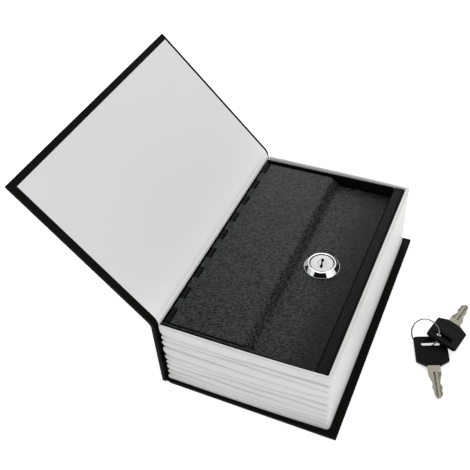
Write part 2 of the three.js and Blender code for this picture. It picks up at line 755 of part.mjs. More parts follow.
function addFixings() {
  const washerTop = -lidThickness - stackGap;
  const washerBottom = washerTop - washerThickness;
  const ring = new THREE.Shape();
  const outer = barrelRadius + washerRim;
  for (let k = 0; k < washerTeeth * 4; k++) {
    const angle = (k / (washerTeeth * 4)) * Math.PI * 2;
    const radius = k % 4 < 2 ? outer : outer - washerTooth;
    const point = [radius * Math.cos(angle), radius * Math.sin(angle)];
    if (k === 0) ring.moveTo(...point);
    else ring.lineTo(...point);
  }
  const bore = new THREE.Path();
  bore.absarc(0, 0, barrelRadius + barrelClearance, 0, Math.PI * 2, true);
  ring.holes.push(bore);
  add('lock_washer', extrudeUp(ring, washerBottom, washerTop, 24), materials.steel, lock);

  const past = 1;
  const nutTop = washerBottom - stackGap;
  const nut = new THREE.CylinderGeometry(nutAcrossFlats / 2 / Math.cos(Math.PI / 6),
    nutAcrossFlats / 2 / Math.cos(Math.PI / 6), nutThickness, 6).rotateX(Math.PI / 2)
    .translate(0, 0, nutTop - nutThickness / 2);
  add('lock_nut', cut(toSolid(nut), cylinder(barrelRadius + barrelClearance, nutTop - nutThickness - past,
    nutTop + past, 48)), materials.steel, lock);

  const hole = tailWidth / 2 + stackGap;
  const squareHole = () => rectangle(-hole, hole, -hole, hole);
  const armHalf = stopArmWidth / 2;
  const armAngle = Math.asin(armHalf / stopDiscRadius);
  const stop = new THREE.Shape();
  stop.absarc(0, 0, stopDiscRadius, -Math.PI / 2 + armAngle, Math.PI * 1.5 - armAngle);
  stop.lineTo(-armHalf, -stopArmRadius);
  stop.lineTo(armHalf, -stopArmRadius);
  stop.holes.push(squareHole());
  add('stop_washer', extrudeUp(stop, stopTop - stopThickness, stopTop, 16), materials.steel, lock);

  const tipHalf = camTipWidth / 2;
  const lean = Math.asin((camRootRadius - tipHalf) / camLength);
  const arm = new THREE.Shape();
  arm.absarc(0, 0, camRootRadius, -lean, Math.PI + lean);
  arm.lineTo(-tipHalf, -camLength + camTipCorner);
  arm.lineTo(-tipHalf + camTipCorner, -camLength);
  arm.lineTo(tipHalf - camTipCorner, -camLength);
  arm.lineTo(tipHalf, -camLength + camTipCorner);
  arm.holes.push(squareHole());
  add('lock_cam', extrudeUp(arm, camBottom, camTop, 16), materials.steel, lock);

  const headTop = camBottom - stackGap;
  const headBottom = headTop - screwHeadHeight;
  const screwTop = bezelHeight - keywayDepth - keywayFloor - screwTipRoom;
  const screw = latheUp([
    [0, headBottom],
    [screwHeadRadius - screwHeadEdge, headBottom],
    [screwHeadRadius, headBottom + screwHeadEdge],
    [screwHeadRadius, headTop],
    [screwRadius, headTop],
    [screwRadius, screwTop],
    [0, screwTop],
  ], 32);
  const cross = (x, y) => block(-x, x, -y, y, headBottom - past, headBottom + screwCrossDepth);
  const crossHalf = screwCrossWidth / 2;
  add('cam_screw', cut(toSolid(screw), cross(screwCrossReach, crossHalf), cross(crossHalf, screwCrossReach)),
    materials.steel, lock);
}

// A moulded head with a slot for the ring, a shallow panel on each face and a pocket for the tang
function keyHead() {
  const half = keyHeadWidth / 2;
  const neck = keyNeckWidth / 2;
  const corner = keyHeadCorner;
  const shape = new THREE.Shape();
  shape.moveTo(-neck, 0);
  shape.lineTo(neck, 0);
  shape.lineTo(half, keyNeckRise);
  shape.absarc(half - corner, keyHeadHeight - corner, corner, 0, Math.PI / 2);
  shape.absarc(corner - half, keyHeadHeight - corner, corner, Math.PI / 2, Math.PI);
  shape.lineTo(-half, keyNeckRise);
  const slot = new THREE.Path();
  const slotEnd = keySlotWidth / 2;
  const slotY = keyHeadHeight - keySlotFromTop;
  const slotHalf = keySlotLength / 2 - slotEnd;
  slot.absarc(slotHalf, slotY, slotEnd, -Math.PI / 2, Math.PI / 2);
  slot.absarc(-slotHalf, slotY, slotEnd, Math.PI / 2, Math.PI * 1.5);
  shape.holes.push(slot);
  const body = new THREE.ExtrudeGeometry(shape, {
    depth: keyHeadThickness - 2 * keyHeadBevel,
    bevelSize: keyHeadBevel,
    bevelOffset: -keyHeadBevel,
    bevelThickness: keyHeadBevel,
    bevelSegments: 1,
    curveSegments: 6,
  }).translate(0, 0, keyHeadBevel - keyHeadThickness / 2);
  const pocketHalf = bladeTangWidth / 2 + bladeClearance;
  const pocketDeep = bladeThickness / 2 + bladeClearance;
  const past = 1;
  const face = keyHeadThickness / 2;
  const panel = (from, to) => block(keyPanelBorder - half, half - keyPanelBorder, keyNeckRise + 1,
    slotY - slotEnd - keyPanelBorder, from, to);
  return cut(toSolid(body),
    block(-pocketHalf, pocketHalf, -past, bladeTang + bladeClearance, -pocketDeep, pocketDeep),
    panel(face - keyPanelDepth, face + past),
    panel(-face - past, keyPanelDepth - face));
}

// The blade has the keyway's section, with cuts on both edges where the wafers sit
function keyBlade() {
  const half = bladeWidth / 2;
  const tip = -bladeLength;
  const keywayBottom = bezelHeight - keywayDepth + bladeTipRoom;
  const shoulder = bezelHeight - keywayBottom - bladeLength;
  const cutEdge = (side) => {
    const cuts = [...wafers].reverse().map(({ level, offset }) => ({
      y: tip + level - keywayBottom,
      x: waferWindow / 2 + side * offset - bladeClearance,
    }));
    const rise = (waferPitch - bladeCutFlat) / 2;
    const points = [[bladeTipHalf, tip], [cuts[0].x, tip + bladeTipTaper]];
    cuts.forEach(({ y, x }, k) => {
      const next = k + 1 < cuts.length ? cuts[k + 1].x : half;
      points.push([x, y - bladeCutFlat / 2], [x, y + bladeCutFlat / 2]);
      points.push([Math.min(half, x + rise, next + rise), y + waferPitch / 2]);
    });
    points.push([half, 0]);
    return points.map(([x, y]) => new THREE.Vector2(side * x, y));
  };
  const outline = new THREE.Shape([...cutEdge(1), ...cutEdge(-1).reverse()]);
  const section = extrudeUp(keywayShape(bladeClearance), tip, bladeTang)
    .applyMatrix4(new THREE.Matrix4().makeBasis(
      new THREE.Vector3(0, 0, 1), new THREE.Vector3(1, 0, 0), new THREE.Vector3(0, 1, 0)));
  const deep = bladeThickness / 2;
  const tangHalf = bladeTangWidth / 2;
  const blade = toSolid(section).intersect(toSolid(extrudeUp(outline, -bladeThickness, bladeThickness)));
  return blade
    .add(toSolid(block(-half, half, shoulder, 0, -deep, deep)))
    .subtract(toSolid(block(-half - 1, half + 1, -bladeClearance, 1, -bladeThickness, bladeThickness)))
    .add(toSolid(block(-tangHalf, tangHalf, -1, bladeTang, -deep, deep)));
}

function addKey(name, { base, pitch, roll, turn }) {
  const key = new THREE.Group();
  key.position.set(...base);
  key.rotation.set(...[pitch, roll, turn].map(THREE.MathUtils.degToRad), 'ZXY');
  book.add(key);
  add(`key_${name}_head`, keyHead(), materials.blackPlastic, key);
  add(`key_${name}_blade`, keyBlade(), materials.nickel, key);
}

// Nearly two turns of wire: flat on one level, a short climb, and flat on the next
function addKeyRing() {
  const rise = 2 * ringWireRadius + ringCoilGap;
  const stepAngle = 360 / ringSteps;
  const count = 2 * ringSteps - ringClimb / stepAngle;
  const middle = 360;
  const stretch = Array.from({ length: count + 1 }, (_, i) => {
    const degrees = ringClimb / 2 + i * stepAngle;
    const climbed = THREE.MathUtils.smoothstep(degrees, middle - ringClimb / 2, middle + ringClimb / 2);
    return { angle: THREE.MathUtils.degToRad(degrees), level: (climbed - 0.5) * rise };
  });
  const corners = Array.from({ length: ringSides }, (_, i) => (i / ringSides) * Math.PI * 2);
  const sections = stretch.map(({ angle, level }) => corners.map((corner) => {
    const radius = ringRadius + ringWireRadius * Math.cos(corner);
    return new THREE.Vector3(radius * Math.cos(angle), radius * Math.sin(angle),
      level + ringWireRadius * Math.sin(corner));
  }));
  const capShape = corners.map((corner) => new THREE.Vector2(Math.sin(corner), Math.cos(corner)));
  const wire = loft(sections, capShape).rotateZ(THREE.MathUtils.degToRad(ringPlace.step));

  let leastGap = Infinity;
  const apart = ringSteps / 2;
  for (let i = 0; i + apart < sections.length; i++) {
    for (const other of sections.slice(i + apart)) {
      for (const a of sections[i]) {
        for (const b of other) leastGap = Math.min(leastGap, a.distanceTo(b));
      }
    }
  }
  console.log(`key_ring: least gap between its turns ${leastGap.toFixed(2)} mm`);

  const ring = new THREE.Group();
  ring.position.set(...ringPlace.centre);
  ring.rotation.set(0, THREE.MathUtils.degToRad(ringPlace.tilt),
    THREE.MathUtils.degToRad(ringPlace.heading), 'ZYX');
  book.add(ring);
  add('key_ring', wire, materials.steel, ring);
}

addFrontCover();
addCoverJoint();
addBackAndSpine();
addPageShell();
addBox();
addLid();
addHousing();
addPlug();
addFixings();
addKey('a', keyPlaces.a);
addKey('b', keyPlaces.b);
addKeyRing();

export default book;
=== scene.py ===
# The book safe's looks, dressed round its solids: a leatherette case, page block, painted cash box,
# cam lock and keys. Metres, +Z up, +X from the spine to the fore edge, +Y from the near end to the far end.

import json
import math

import bmesh
import bpy
from mathutils import Matrix, Vector, noise

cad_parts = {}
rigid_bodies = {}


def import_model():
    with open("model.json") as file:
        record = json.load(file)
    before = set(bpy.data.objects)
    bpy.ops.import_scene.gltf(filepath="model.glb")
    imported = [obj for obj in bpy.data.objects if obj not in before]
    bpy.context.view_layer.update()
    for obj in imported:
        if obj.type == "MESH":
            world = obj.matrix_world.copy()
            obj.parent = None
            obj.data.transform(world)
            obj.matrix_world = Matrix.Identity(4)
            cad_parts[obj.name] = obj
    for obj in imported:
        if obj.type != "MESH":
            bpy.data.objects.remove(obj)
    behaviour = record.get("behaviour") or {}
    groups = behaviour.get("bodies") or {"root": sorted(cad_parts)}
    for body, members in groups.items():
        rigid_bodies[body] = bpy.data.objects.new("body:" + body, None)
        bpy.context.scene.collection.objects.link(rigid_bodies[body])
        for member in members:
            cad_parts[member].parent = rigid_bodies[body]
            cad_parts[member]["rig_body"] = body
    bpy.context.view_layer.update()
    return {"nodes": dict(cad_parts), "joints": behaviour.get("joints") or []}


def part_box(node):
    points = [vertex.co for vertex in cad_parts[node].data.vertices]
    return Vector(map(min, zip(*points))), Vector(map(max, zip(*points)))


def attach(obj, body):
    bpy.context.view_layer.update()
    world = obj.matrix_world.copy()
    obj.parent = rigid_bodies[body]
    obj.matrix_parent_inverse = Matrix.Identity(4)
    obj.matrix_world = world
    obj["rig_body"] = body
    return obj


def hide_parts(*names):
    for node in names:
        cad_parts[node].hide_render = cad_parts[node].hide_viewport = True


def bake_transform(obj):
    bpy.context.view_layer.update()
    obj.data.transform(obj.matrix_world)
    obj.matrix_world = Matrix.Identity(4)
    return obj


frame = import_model()

MM = 0.001

# Places read from the solids and joints
JOINTS = {joint["name"]: joint for joint in frame["joints"]}
COVER_AXIS = Vector(JOINTS["cover_hinge"]["pos_m"])
COVER_OPENING = math.radians(-JOINTS["cover_hinge"]["range_deg"][0])
LOCK_PLACE = Vector(JOINTS["lock_turn"]["pos_m"])
RING_CENTRE = Vector(JOINTS["ring_turn"]["pos_m"])
RING_AXIS = Vector(JOINTS["ring_turn"]["axis"]).normalized()
CASE_LOW, CASE_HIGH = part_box("case_wrap")
PAGE_LOW, PAGE_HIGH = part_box("page_shell")


# Node helpers

EVEN = (1, 1, 1)


def add_node(tree, kind, **values):
    node = tree.nodes.new(kind)
    for key, value in values.items():
        setattr(node, key, value)
    return node


def feed(tree, socket, value):
    """Links a socket to another one, or gives it a plain value."""
    if isinstance(value, bpy.types.NodeSocket):
        tree.links.new(value, socket)
    else:
        socket.default_value = value


def math_node(tree, operation, a, b, clamped=False):
    node = add_node(tree, "ShaderNodeMath", operation=operation, use_clamp=clamped)
    feed(tree, node.inputs[0], a)
    feed(tree, node.inputs[1], b)
    return node.outputs[0]


def mix_node(tree, factor, a, b):
    """A value between two others."""
    node = add_node(tree, "ShaderNodeMix", data_type="FLOAT")
    for label, value in (("Factor", factor), ("A", a), ("B", b)):
        feed(tree, node.inputs[label], value)
    return node.outputs["Result"]


def range_node(tree, value, source, target=(0, 1), run="LINEAR"):
    """A value brought from one range into another."""
    node = add_node(tree, "ShaderNodeMapRange", interpolation_type=run)
    for label, number in zip(("From Min", "From Max", "To Min", "To Max"), (*source, *target)):
        node.inputs[label].default_value = number
    tree.links.new(value, node.inputs["Value"])
    return node.outputs["Result"]


def noise_node(tree, vector, scale, **values):
    """Noise as a factor from 0 to 1."""
    node = add_node(tree, "ShaderNodeTexNoise")
    for label, value in (("Vector", vector), ("Scale", scale), *values.items()):
        feed(tree, node.inputs[label], value)
    return node.outputs["Fac"]


def coordinate(tree, output, axis):
    """One of the three numbers of a place or a normal."""
    place = add_node(tree, "ShaderNodeTexCoord")
    parts = add_node(tree, "ShaderNodeSeparateXYZ")
    tree.links.new(place.outputs[output], parts.inputs[0])
    return parts.outputs[axis]


def rising_mask(tree, output, axis, span):
    """A mask that rises softly from 0 to 1 over a span of a coordinate."""
    return range_node(tree, coordinate(tree, output, axis), span, run="SMOOTHSTEP")


def stretched_place(tree, stretch=EVEN, turn=0):
    """Object coordinates, squeezed along axes that are turned about Z by some degrees."""
    place = add_node(tree, "ShaderNodeTexCoord")
    mapping = add_node(tree, "ShaderNodeMapping", vector_type="TEXTURE")
    mapping.inputs["Rotation"].default_value = (0, 0, math.radians(turn))
    mapping.inputs["Scale"].default_value = [1 / s for s in stretch]
    tree.links.new(place.outputs["Object"], mapping.inputs["Vector"])
    return mapping.outputs["Vector"]


# Node groups that several materials share

SCUFF_CONTRAST = 8
PEEL_SPREAD = (0.44, 0.56)


def new_group(name, inputs, outputs):
    group = bpy.data.node_groups.new(name, "ShaderNodeTree")
    for label, kind, default in inputs:
        socket = group.interface.new_socket(label, in_out="INPUT", socket_type=kind)
        socket.default_value = default
    for label, kind in outputs:
        group.interface.new_socket(label, in_out="OUTPUT", socket_type=kind)
    start = group.nodes.new("NodeGroupInput")
    end = group.nodes.new("NodeGroupOutput")
    return group, start.outputs, end.inputs


def mottle_group():
    """Soft uneven tone: a factor from 0 to 1 with a large and a small pattern."""
    group, given, result = new_group(
        "Mottle",
        [("Large Scale", "NodeSocketFloat", 20.0), ("Small Scale", "NodeSocketFloat", 300.0),
         ("Small Share", "NodeSocketFloat", 0.3)],
        [("Factor", "NodeSocketFloat")])
    place = stretched_place(group)
    large = noise_node(group, place, given["Large Scale"], Detail=4)
    small = noise_node(group, place, given["Small Scale"], Detail=4)
    group.links.new(mix_node(group, given["Small Share"], large, small), result["Factor"])
    return group


def pebble_group():
    """A grain of rounded pebbles with creases between them, broken up by noise, as a height."""
    group, given, result = new_group(
        "Pebble",
        [("Vector", "NodeSocketVector", (0, 0, 0)), ("Scale", "NodeSocketFloat", 900.0),
         ("Break Up", "NodeSocketFloat", 0.4)],
        [("Height", "NodeSocketFloat")])
    cells = add_node(group, "ShaderNodeTexVoronoi", feature="SMOOTH_F1")
    cells.inputs["Smoothness"].default_value = 0.6
    for label in ("Vector", "Scale"):
        group.links.new(given[label], cells.inputs[label])
    domes = math_node(group, "SUBTRACT", 1.0, cells.outputs["Distance"])
    cloud = noise_node(group, given["Vector"], given["Scale"], Detail=3)
    group.links.new(mix_node(group, given["Break Up"], domes, cloud), result["Height"])
    return group


def scuff_group():
    """Thin lines in the direction in which the place is drawn out: a mask and a height."""
    group, given, result = new_group(
        "Scuff",
        [("Vector", "NodeSocketVector", (0, 0, 0)), ("Scale", "NodeSocketFloat", 200.0),
         ("Cover", "NodeSocketFloat", 0.5)],
        [("Mask", "NodeSocketFloat"), ("Height", "NodeSocketFloat")])
    lines = noise_node(group, given["Vector"], given["Scale"], Detail=6, Roughness=0.7)
    above = math_node(group, "SUBTRACT", lines, given["Cover"])
    group.links.new(math_node(group, "MULTIPLY", above, SCUFF_CONTRAST, clamped=True), result["Mask"])
    group.links.new(lines, result["Height"])
    return group


def peel_group():
    """An orange peel of even size: a mask and a height."""
    group, given, result = new_group(
        "Peel",
        [("Vector", "NodeSocketVector", (0, 0, 0)), ("Scale", "NodeSocketFloat", 1000.0)],
        [("Mask", "NodeSocketFloat"), ("Height", "NodeSocketFloat")])
    skin = noise_node(group, given["Vector"], given["Scale"], Detail=1, Distortion=0.5)
    group.links.new(range_node(group, skin, PEEL_SPREAD), result["Mask"])
    group.links.new(skin, result["Height"])
    return group


MOTTLE = mottle_group()
PEBBLE = pebble_group()
SCUFF = scuff_group()
PEEL = peel_group()


# Materials

class Finish:
    """One material: a Principled shader, with helpers that place the shared groups."""

    def __init__(self, name, color, roughness, metallic=0.0, specular=0.5):
        self.material = bpy.data.materials.new(name)
        self.material.use_nodes = True
        self.tree = self.material.node_tree
        self.shader = self.tree.nodes["Principled BSDF"]
        self.color = color
        self.give(Base_Color=(*color, 1), Roughness=roughness, Metallic=metallic, Specular_IOR_Level=specular)

    def give(self, **values):
        """Sets the shader's own sockets, by their labels."""
        for label, value in values.items():
            self.shader.inputs[label.replace("_", " ")].default_value = value

    def group(self, shared, **values):
        """Places a shared group, and feeds its sockets by their labels."""
        node = add_node(self.tree, "ShaderNodeGroup", node_tree=shared)
        for label, value in values.items():
            feed(self.tree, node.inputs[label.replace("_", " ")], value)
        return node

    def tint(self, factor, other):
        """Mixes the base colour with another where the factor is high."""
        mix = add_node(self.tree, "ShaderNodeMix", data_type="RGBA")
        mix.inputs["A"].default_value = (*self.color, 1)
        mix.inputs["B"].default_value = (*other, 1)
        current = self.shader.inputs["Base Color"]
        if current.is_linked:
            self.tree.links.new(current.links[0].from_socket, mix.inputs["A"])
        self.tree.links.new(factor, mix.inputs["Factor"])
        self.tree.links.new(mix.outputs["Result"], current)

    def painted(self, name):
        """A value that the mesh carries at each of its points."""
        node = add_node(self.tree, "ShaderNodeAttribute", attribute_name=name)
        return node.outputs["Fac"]

    def vary_roughness(self, factor, low, high):
        spread = range_node(self.tree, factor, (0, 1), (low, high))
        self.tree.links.new(spread, self.shader.inputs["Roughness"])

    def bump(self, height, depth):
        node = add_node(self.tree, "ShaderNodeBump")
        node.inputs["Distance"].default_value = depth
        self.tree.links.new(height, node.inputs["Height"])
        self.tree.links.new(node.outputs["Normal"], self.shader.inputs["Normal"])


def leatherette():
    finish = Finish("leatherette", (0.0026, 0.0026, 0.0022), 0.55, specular=0.035)
    grain = finish.group(PEBBLE, Vector=stretched_place(finish.tree), Scale=1500.0, Break_Up=0.45)
    finish.bump(grain.outputs["Height"], 0.06 * MM)
    tone = finish.group(MOTTLE, Large_Scale=35.0, Small_Scale=900.0, Small_Share=0.35)
    finish.tint(tone.outputs["Factor"], (0.0052, 0.0051, 0.0045))
    finish.vary_roughness(tone.outputs["Factor"], 0.42, 0.62)
    return finish.material


def liner_paper():
    finish = Finish("liner_paper", (0.64, 0.64, 0.645), 0.75)
    tone = finish.group(MOTTLE, Large_Scale=14.0, Small_Scale=1600.0, Small_Share=0.2)
    finish.tint(tone.outputs["Factor"], (0.61, 0.613, 0.62))
    # Painted light on the strip over the joint, fading onto the cover
    finish.tint(finish.painted("painted_light"), (0.97, 0.97, 0.97))
    place = stretched_place(finish.tree, (1, 0.3, 1))
    fibres = finish.group(SCUFF, Vector=place, Scale=1800.0, Cover=0.55)
    finish.bump(fibres.outputs["Height"], 0.02 * MM)
    return finish.material


def page_plastic():
    finish = Finish("page_plastic", (0.555, 0.565, 0.545), 0.42)
    tone = finish.group(MOTTLE, Large_Scale=30.0, Small_Scale=500.0, Small_Share=0.2)
    finish.tint(tone.outputs["Factor"], (0.53, 0.54, 0.52))
    place = stretched_place(finish.tree, (0.016, 0.016, 1))
    leaves = finish.group(SCUFF, Vector=place, Scale=1100.0, Cover=0.49)
    finish.tint(leaves.outputs["Mask"], (0.47, 0.475, 0.455))
    # Painted shade in the grooves between the ribs
    finish.tint(finish.painted("groove_shade"), (0.46, 0.465, 0.445))
    lines = finish.group(SCUFF, Vector=place, Scale=1400.0, Cover=0.5)
    finish.bump(lines.outputs["Height"], 0.08 * MM)
    return finish.material


def black_plastic():
    finish = Finish("black_plastic", (0.0018, 0.0018, 0.0018), 0.3, specular=0.09)
    tone = finish.group(MOTTLE, Large_Scale=80.0, Small_Scale=1500.0, Small_Share=0.5)
    finish.tint(tone.outputs["Factor"], (0.004, 0.004, 0.0043))
    finish.vary_roughness(tone.outputs["Factor"], 0.22, 0.4)
    finish.bump(tone.outputs["Factor"], 0.03 * MM)
    return finish.material


def grey_board():
    finish = Finish("grey_board", (0.24, 0.21, 0.17), 0.9)
    tone = finish.group(MOTTLE, Large_Scale=60.0, Small_Scale=2500.0, Small_Share=0.7)
    finish.tint(tone.outputs["Factor"], (0.16, 0.14, 0.115))
    finish.bump(tone.outputs["Factor"], 0.08 * MM)
    return finish.material


# A near-black finish that paints the shade in the lock's gap and keyway
def recess_shade():
    finish = Finish("recess_shade", (0.004, 0.004, 0.004), 0.6, specular=0.1)
    tone = finish.group(MOTTLE, Large_Scale=200.0, Small_Scale=2000.0, Small_Share=0.5)
    finish.tint(tone.outputs["Factor"], (0.012, 0.011, 0.01))
    return finish.material


# The peel is drawn out along the lid's short side, and upright so that both panels cut the noise midway
# between its layers; the flange's painted shade is weaker on the raised spots
PEEL_SCALE = 2600.0
PEEL_STRETCH = (0.26, 1, 0.897)
PEEL_TURN = 24
PEEL_DEPTH = 0.2 * MM
COARSE_SCALE = 0.4 * PEEL_SCALE
SLOPE_NORMAL = (0.15, 0.5)
SLOPE_CONTRAST = 1.9
FLANGE_SHADE = (14 * MM, 37 * MM)
SHADE_STRENGTH = 1.1
SHADE_SPARES = 0.4


def powder_coat(name, dark, light, painted_shade, specular):
    """Black powder coat: an orange peel drawn out sideways, with painted light on its raised spots, coarser
    on the slope, and painted shade on the slope and towards the flange.
    """
    finish = Finish(name, dark, 0.38, specular=specular)
    tree = finish.tree
    peel = finish.group(PEEL, Vector=stretched_place(tree, PEEL_STRETCH, PEEL_TURN), Scale=PEEL_SCALE)
    # Painted light on the peel: its raised spots lighter than the dark hollows
    finish.tint(peel.outputs["Mask"], light)
    coarse = finish.group(PEEL, Vector=stretched_place(tree), Scale=COARSE_SCALE)
    # On the slope, which faces +X, the peel's painted light is stronger, and painted shade in a coarser grain
    # darkens it
    slope = rising_mask(tree, "Normal", "X", SLOPE_NORMAL)
    slope_highlight = [SLOPE_CONTRAST * c for c in light]
    finish.tint(math_node(tree, "MULTIPLY", slope, peel.outputs["Mask"]), slope_highlight)
    finish.tint(math_node(tree, "MULTIPLY", slope, coarse.outputs["Mask"]), painted_shade)
    # Painted shade on the low panel towards the flange, weaker on the raised spots
    by_flange = rising_mask(tree, "Object", "X", FLANGE_SHADE)
    spared = math_node(tree, "MULTIPLY", peel.outputs["Mask"], SHADE_SPARES)
    shade = math_node(tree, "SUBTRACT", SHADE_STRENGTH, spared)
    finish.tint(math_node(tree, "MULTIPLY", by_flange, shade), painted_shade)
    finish.bump(peel.outputs["Height"], PEEL_DEPTH)
    tone = finish.group(MOTTLE, Large_Scale=16.0, Small_Scale=700.0, Small_Share=0.35)
    finish.vary_roughness(tone.outputs["Factor"], 0.32, 0.48)
    return finish.material


METAL_MOTTLE = 0.85


def metal(name, color, low, high, stretch, scale, depth, dirt_and_shade=None):
    """A metal with fine lines in one direction and uneven gloss, and with dirt and painted shade where the
    mesh says so.
    """
    finish = Finish(name, color, low, 1.0)
    lines = finish.group(SCUFF, Vector=stretched_place(finish.tree, stretch), Scale=scale, Cover=0.52)
    finish.vary_roughness(lines.outputs["Mask"], low, high)
    finish.bump(lines.outputs["Height"], depth)
    tone = finish.group(MOTTLE, Large_Scale=60.0, Small_Scale=800.0, Small_Share=0.4)
    finish.tint(tone.outputs["Factor"], [METAL_MOTTLE * c for c in color])
    if dirt_and_shade:
        finish.tint(finish.painted("dirt_and_shade"), dirt_and_shade)
    return finish.material


RECESS_SHADE = recess_shade()
# A darker copy of the powder coat for the box: painted shade on its flange and on the far hem under the rim
SHADED_BOX_PAINT = powder_coat("powder_coat_box_shaded", (0.002, 0.002, 0.002), (0.006, 0.006, 0.006),
                        (0.005, 0.0045, 0.0045), 0.04)
LID_PAINT = powder_coat("powder_coat", (0.001, 0.002, 0.002), (0.041, 0.048, 0.047),
                        (0.003, 0.0026, 0.0026), 0.07)
MATERIALS = {
    "leatherette": leatherette(),
    "liner": liner_paper(),
    "pages": page_plastic(),
    "painted_steel": LID_PAINT,
    "board": grey_board(),
    "black_plastic": black_plastic(),
    "chrome": metal("chrome_plate", (0.91, 0.91, 0.92), 0.05, 0.1, (1, 1, 0.2), 300.0, 0.002 * MM),
    "plug_nickel": metal("turned_nickel", (0.4, 0.4, 0.395), 0.34, 0.5, (1, 0.5, 1), 1500.0, 0.03 * MM),
    "plated_steel": metal("zinc_plate", (0.25, 0.25, 0.245), 0.25, 0.4, EVEN, 500.0, 0.01 * MM),
    # The blade's dark tint, for dirt and painted shade
    "blade_nickel": metal("nickel_silver", (0.44, 0.41, 0.345), 0.22, 0.5, (1, 0.3, 1), 900.0, 0.04 * MM,
                          (0.02, 0.017, 0.012)),
    "brass": metal("stamped_brass", (0.60, 0.45, 0.18), 0.22, 0.35, EVEN, 400.0, 0.01 * MM),
}


# Mesh making

MERGE_WITHIN = 0.002 * MM


def put_in_scene(name, data):
    thing = bpy.data.objects.new(name, data)
    bpy.context.scene.collection.objects.link(thing)
    return thing


def new_piece(name, vertices, faces, slot):
    mesh = bpy.data.meshes.new(name)
    mesh.from_pydata([tuple(v) for v in vertices], [], faces)
    shape = bmesh.new()
    shape.from_mesh(mesh)
    bmesh.ops.recalc_face_normals(shape, faces=shape.faces)
    shape.to_mesh(mesh)
    shape.free()
    mesh.materials.append(MATERIALS[slot])
    piece = put_in_scene(name, mesh)
    return piece


def loft(name, sections, slot, ring=False):
    """A solid through closed sections of equal point count, with flat ends or joined into a ring."""
    count = len(sections[0])
    total = len(sections) * count
    faces = []
    for s in range(len(sections) if ring else len(sections) - 1):
        for i in range(count):
            a = s * count + i
            b = s * count + (i + 1) % count
            faces.append((a, b, (b + count) % total, (a + count) % total))
    if not ring:
        faces.append(tuple(range(count - 1, -1, -1)))
        faces.append(tuple(range(total - count, total)))
    return new_piece(name, [v for section in sections for v in section], faces, slot)


def paint_points(piece, name, values):
    """Gives the mesh a value at each point, for the finish to read."""
    layer = piece.data.attributes.new(name, "FLOAT", "POINT")
    layer.data.foreach_set("value", values)


def smooth(piece, sharp_from=50):
    piece.data.shade_smooth()
    piece.data.set_sharp_from_angle(angle=math.radians(sharp_from))
    return piece


def write_modifiers(piece):
    """Writes what the modifiers make into the mesh."""
    seen = piece.evaluated_get(bpy.context.evaluated_depsgraph_get())
    mesh = bpy.data.meshes.new_from_object(seen)
    piece.modifiers.clear()
    old = piece.data
    piece.data = mesh
    bpy.data.meshes.remove(old)
    mesh.name = piece.name
    return piece


def shade_flats(piece, sharp_from=50):
    """Shades the flats as flat, and the narrow rounds between them as round."""
    smooth(piece, sharp_from)
    flats = piece.modifiers.new("flats", "WEIGHTED_NORMAL")
    flats.keep_sharp = True
    return write_modifiers(piece)


def round_edges(piece, width, segments, sharper_than):
    """Rounds the edges that are sharper than an angle."""
    bevel = piece.modifiers.new("edges", "BEVEL")
    bevel.width = width
    bevel.segments = segments
    bevel.limit_method = "ANGLE"
    bevel.angle_limit = math.radians(sharper_than)
    bevel.use_clamp_overlap = True
    bevel.loop_slide = False
    write_modifiers(piece)
    return shade_flats(piece)


def rounded_outline(corners, steps=5):
    """A closed outline through corners given as (x, z, radius), with each corner's round."""
    points = []
    count = len(corners)
    for i, (x, z, radius) in enumerate(corners):
        here = Vector((x, z))
        if radius == 0:
            points.append(here)
            continue
        before = (Vector(corners[i - 1][:2]) - here).normalized()
        after = (Vector(corners[(i + 1) % count][:2]) - here).normalized()
        half = before.angle(after) / 2
        reach = radius / math.tan(half)
        centre = here + (before + after).normalized() * (radius / math.sin(half))
        first = here + before * reach - centre
        turn = first.angle_signed(here + after * reach - centre)
        for k in range(steps + 1):
            points.append(centre + Matrix.Rotation(-turn * k / steps, 2) @ first)
    return points


def rounded_box(x0, x1, y0, y1, radius):
    corners = ((x0, y0), (x1, y0), (x1, y1), (x0, y1))
    return rounded_outline([(*corner, radius) for corner in corners], steps=6)


def ease(t):
    """A soft step from 0 to 1."""
    return t * t * (3 - 2 * t)


# Book case: one sheet of leatherette round the boards and across the joint

COVER_THICKNESS = 2.5 * MM
COVER_REACH = CASE_HIGH.x - COVER_AXIS.x
JOINT_BEYOND = 4 * MM
CASE_ROUND = 0.8 * MM
SPINE_INNER_ROUND = 0.4 * MM
END_ROUND = 0.5 * MM
END_SEGMENTS = 3
END_SHARPER_THAN = 60
GROOVE_HALF = 1.5 * MM
GROOVE_DEPTH = 1.2 * MM
GROOVE_STEPS = 8


def cover_point(along, lift):
    """A point in X and Z on the open front cover: along it from the hinge, and above its middle."""
    direction = Vector((math.cos(COVER_OPENING), math.sin(COVER_OPENING)))
    inner_side = Vector((direction.y, -direction.x))
    return Vector((COVER_AXIS.x, COVER_AXIS.z)) + direction * along + inner_side * lift


def joint_points(lift, steps=20):
    """The line through the joint, from the spine's top to the cover, at a distance from its middle."""
    bottom = Vector((COVER_AXIS.x, CASE_HIGH.z))
    middle = Vector((COVER_AXIS.x, COVER_AXIS.z))
    top = cover_point(JOINT_BEYOND, 0)
    points = []
    for i in range(steps + 1):
        t = i / steps
        at = bottom * (1 - t) ** 2 + middle * (2 * t * (1 - t)) + top * t ** 2
        along = ((middle - bottom) * (1 - t) + (top - middle) * t).normalized()
        points.append(at + Vector((along.y, -along.x)) * lift)
    return points


def blend_over_joint(piece):
    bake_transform(piece)


